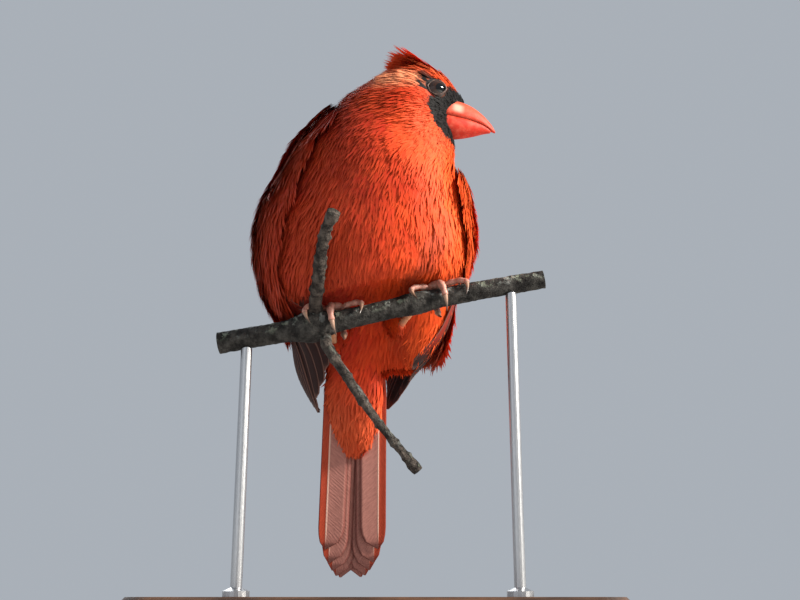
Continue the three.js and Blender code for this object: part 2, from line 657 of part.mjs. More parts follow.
for (const leg of LEGS) {
  const grip = perchRadius(leg.footX) + GAP;
  const ankle = branchPoint(leg.footX, ANKLE.angle, grip + ANKLE.stands);
  const shank = (extra) =>
    tube(
      [leg.heel, leg.heel.clone().lerp(ankle, 0.5), ankle],
      (t) => TARSUS_RADIUS * (1 + 0.4 * bell(t, 0.12) + 0.2 * bell(t - 1, 0.1)),
      9,
      8,
      extra,
    );
  const shankClear = shank(GAP);
  addNode(`tarsus_${leg.name}`, cut(shank(0), [torsoClear, perchClear]), legPink);
  const thigh = loft(
    share(0, 1, 6).map((t) => {
      const centre = leg.knee.clone().lerp(leg.heel, t);
      const way = leg.heel.clone().sub(leg.knee).normalize();
      const side = v3(1, 0, 0).addScaledVector(way, -way.x).normalize();
      const other = way.clone().cross(side);
      const radius = lerp(THIGH.from, THIGH.to, t ** 0.8);
      return Array.from({ length: 12 }, (_, i) => {
        const a = (Math.PI * i) / 6;
        const point = centre.clone().addScaledVector(side, radius * Math.cos(a));
        return point.addScaledVector(other, radius * Math.sin(a));
      });
    }),
  );
  addNode(`thigh_${leg.name}`, cut(thigh, [torsoClear, shankClear, perchClear]), plumageRed);
  const toes = TOES.map((toe) => tube(toeCurve(leg, toe), toeRadius(toe), 12));
  const branchAxes = [branchAlong, v3(0, 1, 0), branchUp];
  const palm = ellipsoid(
    branchPoint(leg.footX, PALM.angle, grip + PALM.stands),
    branchAxes,
    PALM.radii,
    12,
    8,
  );
  const round = [shankClear, perchClear, torsoClear, ...twigsClear];
  addNode(`foot_${leg.name}`, cut(join([palm, ...toes]), round), legPink);
  for (const toe of TOES) {
    const curve = toeCurve(leg, toe);
    const way = curve.getTangentAt(1);
    const end = curve.getPointAt(1).addScaledVector(way, GAP);
    const hug = perchCentre(leg.footX).sub(end).projectOnPlane(way).normalize();
    const length = CLAW_LENGTH * (toe.name === "hallux" ? 1.1 : 0.9);
    const tip = share(0, 1, 4).map((t) =>
      end.clone().addScaledVector(way, length * t).addScaledVector(hug, 1.6 * t * t),
    );
    const claw = tube(tip, (t) => toe.radius * 0.68 * (1 - 0.86 * t), 6, 7);
    addNode(`claw_${leg.name}_${toe.name}`, cut(claw, [perchClear, ...twigsClear]), clawHorn);
  }
}

// The stand: a flat base with two turned rods that cradle the branch
const outline = new THREE.Shape();
const [w, d] = [BASE.width / 2 - BASE.bevel, BASE.depth / 2 - BASE.bevel];
outline.moveTo(-w + BASE.corner, -d);
for (const [x, y, start] of [[w, -d, -90], [w, d, 0], [-w, d, 90], [-w, -d, 180]]) {
  const [cx, cy] = [x - Math.sign(x) * BASE.corner, y - Math.sign(y) * BASE.corner];
  outline.absarc(cx, cy, BASE.corner, rad(start), rad(start + 90));
}
const slab = new THREE.ExtrudeGeometry(outline, {
  depth: BASE.height - BASE.bevel * 2,
  bevelThickness: BASE.bevel,
  bevelSize: BASE.bevel,
  bevelSegments: 1,
  curveSegments: 5,
});
slab.translate(0, 0, BASE.bevel);
addNode("stand_base", solidOf(slab), standWood);
ROD.x.forEach((x, i) => {
  const foot = perchCentre(x);
  const from = BASE.height + GAP;
  const profile = [
    [0, from],
    [ROD.collar, from],
    [ROD.collar, from + ROD.collarHeight * 0.6],
    [ROD.radius, from + ROD.collarHeight],
    [ROD.radius, foot.z],
    [0, foot.z],
  ].map(([r, z]) => new THREE.Vector2(r, z));
  const rod = new THREE.LatheGeometry(profile, 20);
  rod.rotateX(Math.PI / 2);
  rod.translate(x, foot.y, 0);
  addNode(`stand_rod_${i ? "right" : "left"}`, cut(solidOf(rod), [perchClear]), steel);
});

export default part;
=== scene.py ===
"""A male northern cardinal on a cut branch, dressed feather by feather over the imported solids."""
import json
import math

import bmesh
import bpy
import numpy as np
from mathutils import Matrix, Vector

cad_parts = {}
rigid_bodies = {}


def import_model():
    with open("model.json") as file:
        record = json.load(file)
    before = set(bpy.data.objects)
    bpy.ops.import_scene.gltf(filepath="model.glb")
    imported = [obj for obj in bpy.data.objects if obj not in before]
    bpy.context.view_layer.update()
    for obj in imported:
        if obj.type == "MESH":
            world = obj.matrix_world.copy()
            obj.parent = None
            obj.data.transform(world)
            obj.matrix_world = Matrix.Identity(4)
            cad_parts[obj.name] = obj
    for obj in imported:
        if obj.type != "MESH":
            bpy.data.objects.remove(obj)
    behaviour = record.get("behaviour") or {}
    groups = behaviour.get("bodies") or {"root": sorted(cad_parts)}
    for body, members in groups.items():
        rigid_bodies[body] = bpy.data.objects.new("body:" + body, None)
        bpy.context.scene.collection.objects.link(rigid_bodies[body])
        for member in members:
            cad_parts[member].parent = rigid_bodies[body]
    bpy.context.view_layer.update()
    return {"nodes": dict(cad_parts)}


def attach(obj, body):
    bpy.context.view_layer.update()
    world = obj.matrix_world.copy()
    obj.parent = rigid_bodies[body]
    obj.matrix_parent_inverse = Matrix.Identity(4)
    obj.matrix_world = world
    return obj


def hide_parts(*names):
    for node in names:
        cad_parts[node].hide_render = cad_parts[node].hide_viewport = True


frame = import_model()

MM = 0.001
rng = np.random.default_rng(11)


def v(*xyz):
    return np.array(xyz, dtype=float)


def unit(a):
    a = np.asarray(a, dtype=float)
    return a / np.maximum(np.linalg.norm(a, axis=-1, keepdims=True), 1e-9)


def smooth(a, b, x):
    """0 at a, 1 at b, soft between."""
    t = np.clip((np.asarray(x, dtype=float) - a) / (b - a), 0, 1)
    return t * t * (3 - 2 * t)


def mixed(a, b, t):
    """From a to b by share t."""
    return a + (b - a) * t


def hump(x, spread):
    """A round hill of height 1 at 0."""
    return np.exp(-((x / spread) ** 2))


def ring_angles(count):
    return np.linspace(0, 2 * math.pi, count, endpoint=False)


# The bird's own directions and places, in millimetres, as the solids have them

GAP = 0.3  # between pieces that touch
PERCH_RISE = 0.21
BREAST_TURN = math.radians(17)
HEAD_TURN = math.radians(97)
HEAD_NOD = math.radians(9)
TAIL_SLOPE = math.radians(66)
TRUNK_UP = unit(v(0.21, -0.31, 0.925))
BREAST = v(math.sin(BREAST_TURN), -math.cos(BREAST_TURN), 0)
TRUNK_OUT = unit(BREAST - BREAST.dot(TRUNK_UP) * TRUNK_UP)
TRUNK_LEFT = np.cross(TRUNK_UP, TRUNK_OUT)
HEAD_LEVEL = v(math.sin(HEAD_TURN), -math.cos(HEAD_TURN), 0)
HEAD_OUT = math.cos(HEAD_NOD) * HEAD_LEVEL + v(0, 0, -math.sin(HEAD_NOD))
HEAD_RIGHT = unit(np.cross(HEAD_OUT, v(0, 0, 1)))
HEAD_UP = np.cross(HEAD_RIGHT, HEAD_OUT)
TAIL_DOWN = unit(v(-0.03, math.cos(TAIL_SLOPE), -math.sin(TAIL_SLOPE)))
TAIL_LEFT = unit(v(1, 0.1, 0) - v(1, 0.1, 0).dot(TAIL_DOWN) * TAIL_DOWN)
TAIL_BACK = unit(np.cross(TAIL_LEFT, TAIL_DOWN))
VENT = v(-9.5, 26, 99)
EYES = v(20.3, -8.5, 186.5)  # midway between the eyes
COVERT_REACH = 36  # undertail coverts along the tail


def head_point(out, up, right=0.0):
    return EYES + out * HEAD_OUT + up * HEAD_UP + right * HEAD_RIGHT


TRUNK = np.array([TRUNK_LEFT, TRUNK_OUT, TRUNK_UP])
SKULL = np.array([HEAD_RIGHT, HEAD_OUT, HEAD_UP])
TAIL_AXES = np.array([TAIL_LEFT, TAIL_BACK, TAIL_DOWN])
BRANCH_ALONG = unit(v(1, 0, PERCH_RISE))
BRANCH_UP = unit(v(-PERCH_RISE, 0, 1))

# The outline is a smooth union of ellipsoids: centre, axes and radii.
FORMS = [
    (v(-5.5, 9, 137), TRUNK, v(38, 33, 42)),  # belly
    (v(0, -1, 163), TRUNK, v(28, 25, 24)),  # breast
    (v(3.5, -3, 179), TRUNK, v(18.5, 18, 17)),  # neck
    (VENT + 8 * TAIL_DOWN, TAIL_AXES, v(12, 9.5, 31)),  # tail coverts
]
HEAD_FORMS = [
    (head_point(-5.3, 0.8), SKULL, v(11.4, 13.8, 11.4)),  # skull
    (head_point(3.8, -1.9), SKULL, v(4.2, 9, 6.9)),  # forehead and lores
    (head_point(-7.6, -8.6), SKULL, v(12.3, 10.8, 10)),  # cheeks
    (head_point(-0.5, -15.4), SKULL, v(6.8, 8.5, 7.6)),  # throat
]
LEG_HOLLOW = (v(2, -8, 98), np.array([BRANCH_ALONG, v(0, 1, 0), BRANCH_UP]), v(70, 25, 22))
FLANK = (v(13, 24, 114), TRUNK, v(13, 12, 20))
WING_BED = (v(-9.5, 27, 103), TAIL_AXES, v(22.5, 13, 29))  # what the folded wing tips lie on
BLEND = 9
HEAD_BLEND = 4
FLANK_BLEND = 6
WING_BED_BLEND = 8


def ellipsoid_field(p, form):
    at, axes, radii = form
    q = ((p - at) @ axes.T) / radii
    inner = np.linalg.norm(q, axis=-1)
    steep = np.linalg.norm(q / radii, axis=-1)
    return np.where(steep < 1e-6, -radii.min(), inner * (inner - 1) / np.maximum(steep, 1e-6))


def smooth_union(values, blend):
    result = values[0]
    for other in values[1:]:
        h = np.maximum(blend - np.abs(result - other), 0) / blend
        result = np.minimum(result, other) - h * h * blend / 4
    return result


def body_field(p):
    """About how far a place is outside the plumage, in millimetres; below zero within it."""
    trunk = smooth_union([ellipsoid_field(p, form) for form in FORMS], BLEND)
    head = smooth_union([ellipsoid_field(p, form) for form in HEAD_FORMS], HEAD_BLEND)
    full = smooth_union([trunk, head], BLEND)
    hollowed = -smooth_union([-full, ellipsoid_field(p, LEG_HOLLOW)], BLEND)
    return smooth_union([hollowed, ellipsoid_field(p, FLANK)], FLANK_BLEND)


def wing_field(p):
    return smooth_union([body_field(p), ellipsoid_field(p, WING_BED)], WING_BED_BLEND)


def cast(start, way, level, field=body_field):
    """The first points from start along way where the field reaches level."""
    stride = 1.5
    near = np.zeros(len(start))
    far = np.full(len(start), stride)
    for _ in range(50):
        inside = field(start + far[:, None] * way) < level
        if not inside.any():
            break
        near = np.where(inside, far, near)
        far = np.where(inside, far + stride, far)
    for _ in range(12):
        middle = (near + far) / 2
        inside = field(start + middle[:, None] * way) < level
        near = np.where(inside, middle, near)
        far = np.where(inside, far, middle)
    return start + far[:, None] * way


def slope_of(p, field=body_field):
    """The way straight out of the plumage."""
    steps = 0.3 * np.eye(3)
    return unit(np.stack([field(p + step) - field(p - step) for step in steps], axis=-1))


class Path:
    """A smooth curve through points, read by its share of length."""

    def __init__(self, points, fine=60):
        p = np.asarray(points, dtype=float)
        p = np.vstack([2 * p[0] - p[1], p, 2 * p[-1] - p[-2]])
        line = []
        for a, b, c, d in zip(p, p[1:], p[2:], p[3:]):
            t0, t1 = 0.0, np.linalg.norm(b - a) ** 0.5
            t2 = t1 + np.linalg.norm(c - b) ** 0.5
            t3 = t2 + np.linalg.norm(d - c) ** 0.5
            t = np.linspace(t1, t2, fine, endpoint=False)[:, None]
            ab = ((t1 - t) * a + (t - t0) * b) / (t1 - t0)
            bc = ((t2 - t) * b + (t - t1) * c) / (t2 - t1)
            cd = ((t3 - t) * c + (t - t2) * d) / (t3 - t2)
            abc = ((t2 - t) * ab + (t - t0) * bc) / (t2 - t0)
            bcd = ((t3 - t) * bc + (t - t1) * cd) / (t3 - t1)
            line.append(((t2 - t) * abc + (t - t1) * bcd) / (t2 - t1))
        self.line = np.vstack([*line, p[-2][None]])
        steps = np.linalg.norm(np.diff(self.line, axis=0), axis=1)
        self.share = np.concatenate([[0], np.cumsum(steps)])
        self.length = self.share[-1]
        self.share /= self.length
        self.way = unit(np.gradient(self.line, axis=0))

    def at(self, t):
        return np.stack([np.interp(t, self.share, self.line[:, k]) for k in range(3)], axis=-1)

    def along(self, t):
        return unit(np.stack([np.interp(t, self.share, self.way[:, k]) for k in range(3)], axis=-1))


SPINE = Path([
    VENT + (COVERT_REACH - 1) * TAIL_DOWN,
    VENT + 16 * TAIL_DOWN,
    VENT,
    v(-8, 24, 118),
    v(-6, 8, 138),
    v(-1.5, 0, 158),
    v(5, -4, 174),
    v(12, -8, 185),
    head_point(-4, 4),
    head_point(-4, 12),
])


def spine_frames(t):
    """At each share of the spine: its place, its way up, and the ways out through the breast and left."""
    t = np.asarray(t, dtype=float)
    up = SPINE.along(np.clip(t, 0, 1))
    at = SPINE.at(np.clip(t, 0, 1)) + np.minimum(t, 0)[..., None] * -SPINE.length * TAIL_DOWN
    out = unit(BREAST - (up @ BREAST)[..., None] * up)
    return at, up, out, np.cross(up, out)


def round_body(t, angle):
    """Places on the spine and the ways out from them, angle radians round from the breast."""
    at, _, out, left = spine_frames(t)
    return at, np.cos(angle)[..., None] * out + np.sin(angle)[..., None] * left


# Meshes

def mesh_piece(name, points, faces, material, smooth_shade=True, values=None):
    """A mesh object from points in millimetres, with per-point values if given."""
    mesh = bpy.data.meshes.new(name)
    mesh.from_pydata((np.asarray(points) * MM).tolist(), [], [list(map(int, f)) for f in faces])
    for key, data in (values or {}).items():
        layer = mesh.attributes.new(key, "FLOAT", "POINT")
        layer.data.foreach_set("value", np.asarray(data, dtype=np.float32).ravel())
    mesh.polygons.foreach_set("use_smooth", [smooth_shade] * len(mesh.polygons))
    if material:
        mesh.materials.append(material)
    piece = bpy.data.objects.new(name, mesh)
    bpy.context.scene.collection.objects.link(piece)
    return piece


def face_outwards(piece):
    bm = bmesh.new()
    bm.from_mesh(piece.data)
    bmesh.ops.remove_doubles(bm, verts=bm.verts, dist=1e-7)
    bmesh.ops.recalc_face_normals(bm, faces=bm.faces)
    bm.to_mesh(piece.data)
    bm.free()
    return piece


def loft(rings, caps=True):
    """Points and faces of a surface through rings, each end closed on its middle."""
    rows, sides, _ = rings.shape
    points = rings.reshape(-1, 3)
    faces = []
    for r in range(rows - 1):
        for i in range(sides):
            j = (i + 1) % sides
            a, b = r * sides, (r + 1) * sides
            faces.append((a + i, a + j, b + j, b + i))
    if caps:
        low, high = len(points), len(points) + 1
        points = np.vstack([points, rings[0].mean(0), rings[-1].mean(0)])
        last = (rows - 1) * sides
        for i in range(sides):
            j = (i + 1) % sides
            faces.append((low, j, i))
            faces.append((high, last + i, last + j))
    return points, faces


def tube_rings(path, radius, steps, sides, ripple=None):
    """Round sections along a path; ripple adds to the radius at each share and angle."""
    t = np.linspace(0, 1, steps + 1)
    centre, way = path.at(t), path.along(t)
    side = np.empty_like(way)
    guide = v(0, 1, 0) if abs(way[0][1]) < 0.8 else v(1, 0, 0)
    for k, w in enumerate(way):
        guide = unit(guide - guide.dot(w) * w)
        side[k] = guide
    other = np.cross(way, side)
    a = ring_angles(sides)
    size = np.broadcast_to(radius(t)[:, None], (steps + 1, sides)).copy()
    if ripple is not None:
        size += ripple(t[:, None], a[None, :])
    return (centre[:, None] + (size * np.cos(a))[..., None] * side[:, None]
            + (size * np.sin(a))[..., None] * other[:, None])


def ball_rings(centre, axes, rows, sides):
    """Rings of an ellipsoid from pole to pole along the first of its three half axes, without the poles."""
    a = np.linspace(0, math.pi, rows + 2)[1:-1, None, None]
    b = ring_angles(sides)[:, None]
    return centre + np.cos(a) * axes[0] + np.sin(a) * (np.cos(b) * axes[1] + np.sin(b) * axes[2])


def joined(parts):
    """One list of points and faces from several."""
    points, faces, count = [], [], 0
    for p, f in parts:
        points.append(p)
        faces += [tuple(i + count for i in face) for face in f]
        count += len(p)
    return np.vstack(points), faces


# Shader sums

class Val:
    """A socket of a material that can be added, multiplied and so on."""

    def __init__(self, paint, socket):
        self.paint, self.socket = paint, socket

    def math(self, operation, *others):
        terms = dict(enumerate((self, *others)))
        return self.paint.node("Math", {"operation": operation}, terms)

    def __add__(self, other):
        return self.math("ADD", other)

    def __sub__(self, other):
        return self.math("SUBTRACT", other)

    def __rsub__(self, other):
        return self.paint.node("Math", {"operation": "SUBTRACT"}, {0: other, 1: self})

    def __mul__(self, other):
        return self.math("MULTIPLY", other)

    def __truediv__(self, other):
        return self.math("DIVIDE", other)

    def __pow__(self, other):
        return self.math("POWER", other)

    __radd__, __rmul__ = __add__, __mul__

    def step(self, low, high):
        """0 below low, 1 above high, smooth between."""
        return self.paint.node("MapRange", {"interpolation_type": "SMOOTHSTEP"},
                               {"Value": self, "From Min": low, "From Max": high})

    def near(self, middle, low, high):
        """1 within low of middle, 0 beyond high from it."""
        return 1.0 - (self - middle).math("ABSOLUTE").step(low, high)


class Paint:
    """One material."""

    def __init__(self, name, **fixed):
        self.material = bpy.data.materials.new(name)
        self.material.use_nodes = True
        self.tree = self.material.node_tree
        self.shader = next(n for n in self.tree.nodes if n.type == "BSDF_PRINCIPLED")
        for key, value in fixed.items():
            self.shader.inputs[key.replace("_", " ")].default_value = value

    def node(self, kind, settings=None, inputs=None, out=0):
        made = self.tree.nodes.new("ShaderNode" + kind)
        for key, value in (settings or {}).items():
            setattr(made, key, value)
        for key, value in (inputs or {}).items():
            self.set(made.inputs[key], value)
        return Val(self, made.outputs[out])

    def set(self, socket, value):
        if isinstance(value, Val):
            self.tree.links.new(value.socket, socket)
        elif isinstance(value, (tuple, list)) and socket.type == "RGBA" and len(value) == 3:
            socket.default_value = (*value, 1)
        else:
            socket.default_value = value

    def into(self, key, value):
        self.set(self.shader.inputs[key], value)

    def mix(self, factor, a, b, blend="MIX"):
        settings = {"data_type": "RGBA", "blend_type": blend}
        return self.node("Mix", settings, {0: factor, 6: a, 7: b}, out=2)

    def darken(self, factor, colour, tint):
        """A colour multiplied by a tint, as far as factor says."""
        return self.mix(factor, colour, self.mix(1.0, colour, tint, "MULTIPLY"))

    def noise(self, scale, detail=3.0, vector=None, rough=0.5, stretch=None):
        where = vector or self.place()
        if stretch:
            where = self.node("Mapping", None, {"Vector": where, "Scale": stretch})
        inputs = {"Vector": where, "Scale": scale, "Detail": detail, "Roughness": rough}
        return self.node("TexNoise", None, inputs)

    def place(self):
        return self.node("TexCoord", out="Object")

    def value(self, name):
        return self.node("Attribute", {"attribute_name": name}, out="Fac")

    def vector(self, name):
        return self.node("Attribute", {"attribute_name": name}, out="Vector")

    def dot(self, a, b):
        return self.node("VectorMath", {"operation": "DOT_PRODUCT"}, {0: a, 1: tuple(b)}, out="Value")

    def measure(self, where, axis, origin):
        """How far a place is along an axis from an origin, in millimetres."""
        return (self.dot(where, axis) - float(origin.dot(axis)) * MM) / MM

    def bump(self, height, strength, distance):
        inputs = {"Height": height, "Strength": strength, "Distance": distance}
        self.into("Normal", self.node("Bump", None, inputs))


def head_sums(paint, where):
    """How far out, up and to the right of the eye line a place is, in millimetres."""
    return [paint.measure(where, axis, EYES) for axis in (HEAD_OUT, HEAD_UP, HEAD_RIGHT)]


def breast_crease_shade(side, height):
    """Painted shade in the crease that runs down the breast between its two halves."""
    wander = (height * 0.09).math("SINE") * 3.0
    return (side - wander).near(-1.0, 0.5, 7.0) * height.step(88.0, 100.0) * (1.0 - height.step(134.0, 146.0))


def body_reds(paint, where, along):
    """Reds of the breast, back, flanks and tail coverts, with painted light and painted shade over them."""
    origin = v(0, 0, 0)
    height, front, side = (paint.measure(where, axis, origin) for axis in (TRUNK_UP, BREAST, TRUNK_LEFT))
    patches = paint.noise(70.0, 3.0, where)
    red = paint.mix(patches.step(0.35, 0.68), (0.56, 0.024, 0.005), (0.78, 0.065, 0.009))
    lit = (side + front * 0.35).step(-16.0, 22.0)
    red = paint.mix(lit * 0.65, red, (0.87, 0.125, 0.013))
    # The back and the flanks beside the wings are dusky, with grey-brown edges.
    # The spine leans back on its way down, so what is behind it is told from both.
    back = (height * 0.42 - front - 61.9).step(3.0, 16.0)
    dusky = paint.mix(along.step(0.55, 0.95), (0.34, 0.04, 0.024), (0.36, 0.15, 0.1))
    red = paint.mix(back * 0.75, red, dusky)
    # Painted shade: the bird's right side is painted darker, as if turned away from the light.
    painted_shade_right = 1.0 - side.step(-34.0, -6.0)
    red = paint.mix(painted_shade_right * 0.6, red, (0.24, 0.026, 0.016))
    # Painted shade: the bird's left flank below the branch is painted duskier, as if in the shade under the
    # branch.
    flank_shade_below_branch = side.step(8.0, 20.0) * (1.0 - height.step(92.0, 104.0))
    red = paint.mix(flank_shade_below_branch * 0.75, red, (0.4, 0.12, 0.085))
    # Painted shade darkens the crease down the middle of the breast.
    red = paint.mix(breast_crease_shade(side, height) * 0.6, red, (0.14, 0.008, 0.004))
    # Undertail coverts are a softer orange.
    low = 1.0 - height.step(62.0, 84.0)
    red = paint.mix(low * (1.0 - back) * 0.7, red, (0.78, 0.14, 0.05))
    return red, height


def plumage_colour(paint, where, along, tone):
    """The bird's markings, the same for skin and feathers, over painted light and shade on the body: where is
    a feather's root.
    """
    out, up, right = head_sums(paint, where)
    fine = paint.noise(420.0, 2.0, where)
    red, height = body_reds(paint, where, along)
    # Crown and crest turn rosy; the ear coverts and nape are pale peach.
    crown = up.step(3.0, 7.5) * height.step(168.0, 176.0)
    red = paint.mix(crown * 0.75, red, (0.86, 0.15, 0.045))
    red = paint.mix(up.near(1.5, 1.5, 5.0) * out.near(-12.0, 4.0, 10.0) * 0.8, red, (0.92, 0.4, 0.2))
    red = paint.darken(tone * 0.45, red, (0.55, 0.42, 0.4))
    red = paint.mix(along.step(0.5, 1.0) * 0.22, red, (0.9, 0.13, 0.035))
    # The black mask round the bill and the black rim of the lids
    mask = (((out - 9.5) / 11.2) ** 2.0 + ((up + 6.3) / 9.2) ** 2.0) + (fine - 0.5) * 0.3
    rim = ((out + 1.9) ** 2.0 + (up - 1.0) ** 2.0) ** 0.5 + (fine - 0.5) * 1.2
    black = (1.0 - mask.step(0.86, 1.06)).math("MAXIMUM", 1.0 - rim.step(3.3, 3.9))
    return paint.mix(black * right.near(0.0, 12.0, 13.5), red, (0.006, 0.005, 0.005))


def feather_paint():
    paint = Paint("Red plumage", Roughness=0.6, Specular_IOR_Level=0.14)
    along = paint.value("along")
    tone = paint.value("tone") * 0.6 + paint.value("shade") * 0.4
    colour = plumage_colour(paint, paint.vector("root"), along, tone)
    paint.into("Base Color", paint.darken(1.0 - along.step(0.0, 0.45), colour, (0.5, 0.4, 0.38)))
    paint.bump(paint.noise(2600.0, 2.0), 0.25, 0.0002)
    return paint.material


def skin_paint():
    paint = Paint("Down and skin", Roughness=0.8)
    colour = plumage_colour(paint, paint.place(), paint.noise(300.0), paint.noise(200.0))
    paint.into("Base Color", paint.mix(1.0, colour, (0.5, 0.42, 0.4), "MULTIPLY"))
    paint.bump(paint.noise(900.0, 4.0), 0.6, 0.0006)
    return paint.material


RED = feather_paint()
DOWN = skin_paint()

# Skin

SKIN_ROWS, SKIN_SIDES = 190, 120
NECK_FROM, HEAD_FROM = 0.735, 0.845  # shares of the spine
SKIN_TO_HEEL = 1.0  # how far the thighs' skin lies under their coat


def coat_depth(t):
    """How far the skin lies under the outside of the coat."""
    body, head, at_vent = 2.4, 1.1, 0.9
    return mixed(body, head, smooth(NECK_FROM, HEAD_FROM + 0.05, t)) - at_vent * (1 - smooth(0.0, 0.06, t))


def body_grid():
    """The skin's rows and sides: shares of the spine, places, and ways out."""
    t, angle = np.meshgrid(np.linspace(0, 1, SKIN_ROWS), ring_angles(SKIN_SIDES), indexing="ij")
    p = cast(*round_body(t.ravel(), angle.ravel()), 0.0)
    n = slope_of(p)
    p = p - n * coat_depth(t.ravel())[:, None]
    return t, p.reshape(SKIN_ROWS, SKIN_SIDES, 3), n.reshape(SKIN_ROWS, SKIN_SIDES, 3)


GRID_T, GRID_P, GRID_N = body_grid()

EYE_RADIUS = 3.9
EYE_STANDS = 0.9  # how far its front stands out of the plumage


def eye_centre(side):
    way = HEAD_RIGHT * side
    return cast(head_point(-1.2, 0.3)[None], way[None], 0.0)[0] - way * (EYE_RADIUS - EYE_STANDS)


EYE_AT = {side: eye_centre(side) for side in (1, -1)}

LEGS = {
    "left": {"x": 21.5, "heel": v(5.5, 14.5, 105), "knee": v(4, 18, 117), "out": 1},
    "right": {"x": -15.4, "heel": v(-17.5, 15, 98.5), "knee": v(-14, 20, 112), "out": -1},
}


def thigh_rings(leg):
    t = np.linspace(0, 1, 14)
    centre = mixed(leg["knee"], leg["heel"], t[:, None])
    way = unit(leg["heel"] - leg["knee"])
    side = unit(v(1, 0, 0) - way[0] * way)
    other = np.cross(way, side)
    a = ring_angles(24)
    r = (mixed(8.5, 2.4, t ** 0.8) - SKIN_TO_HEEL)[:, None]
    return centre[:, None] + (r * np.cos(a))[..., None] * side + (r * np.sin(a))[..., None] * other


def make_skin():
    body, faces = loft(GRID_P)
    body[-2] = cast(SPINE.at(0.0)[None], TAIL_DOWN[None], -coat_depth(0.0))[0]
    body[-1] = cast(SPINE.at(1.0)[None], SPINE.along(1.0)[None], -coat_depth(1.0))[0]
    parts = [(body, faces)] + [loft(thigh_rings(leg)) for leg in LEGS.values()]
    skin = face_outwards(mesh_piece("skin", *joined(parts), DOWN))
    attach(skin, "root")
    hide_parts("torso", "neck", "head", "thigh_left", "thigh_right")


make_skin()

# Feathers of the body: small tufts of barbs laid over the skin

BLADE_WIDTHS = ((0, 0.6), (0.38, 1.0), (0.74, 0.75), (1, 0))  # along a blade of barbs
TUFT_SHAPES = ((0.14, 6), (0.2, 7), (0.26, 7), (0.18, 6))  # how far the blades fan out, and how many


def barb_tuft(name, spread, blades, seed):
    """A feather one unit long: blades of barbs that fan out from the quill, longest in the middle."""
    draw = np.random.default_rng(seed)
    points, faces, along, shade, local = [], [], [], [], []
    middle = (blades - 1) / 2
    for k in range(blades):
        across = (k - middle) / middle
        length = 1 - 0.15 * across ** 2 - 0.25 * draw.random()
        angle = across * spread * (0.8 + 0.4 * draw.random()) + 0.06 * (draw.random() - 0.5)
        wide = 0.036 * (0.7 + 0.7 * draw.random())
        rise = 0.09 * draw.random()
        bend = 0.1 * (draw.random() - 0.5)
        own = draw.random()
        a = len(points)
        for t, width in BLADE_WIDTHS:
            y = length * t
            x = math.sin(angle) * y * (1 + 0.25 * t) + bend * t * t
            z = 0.2 * t ** 0.8 - 0.13 * t * t - 0.05 * abs(across) * t + rise * t
            for side in (-1, 1) if width else (0,):
                edge = x + side * wide * width
                points.append((edge, y, z - 0.012 * (side > 0) * width))
                along.append(t)
                shade.append(own)
                local.append((0.5 + 0.5 * edge, t))
        faces += [(a, a + 1, a + 3, a + 2), (a + 2, a + 3, a + 5, a + 4), (a + 4, a + 5, a + 6)]
    tuft = mesh_piece(name, np.array(points) / MM, faces, None, values={"along": along, "shade": shade})
    layer = tuft.data.attributes.new("local", "FLOAT2", "POINT")
    layer.data.foreach_set("vector", np.array(local, dtype=np.float32).ravel())
    return tuft


def tuft_collection():
    box = bpy.data.collections.new("tufts")
    for k, (spread, blades) in enumerate(TUFT_SHAPES):
        tuft = barb_tuft(f"tuft_{k}", spread, blades, 31 + k)
        bpy.context.scene.collection.objects.unlink(tuft)
        box.objects.link(tuft)
    return box


TUFTS = tuft_collection()

COAT_SEED = 5
FULLNESS = 1.0  # widens or narrows every tuft


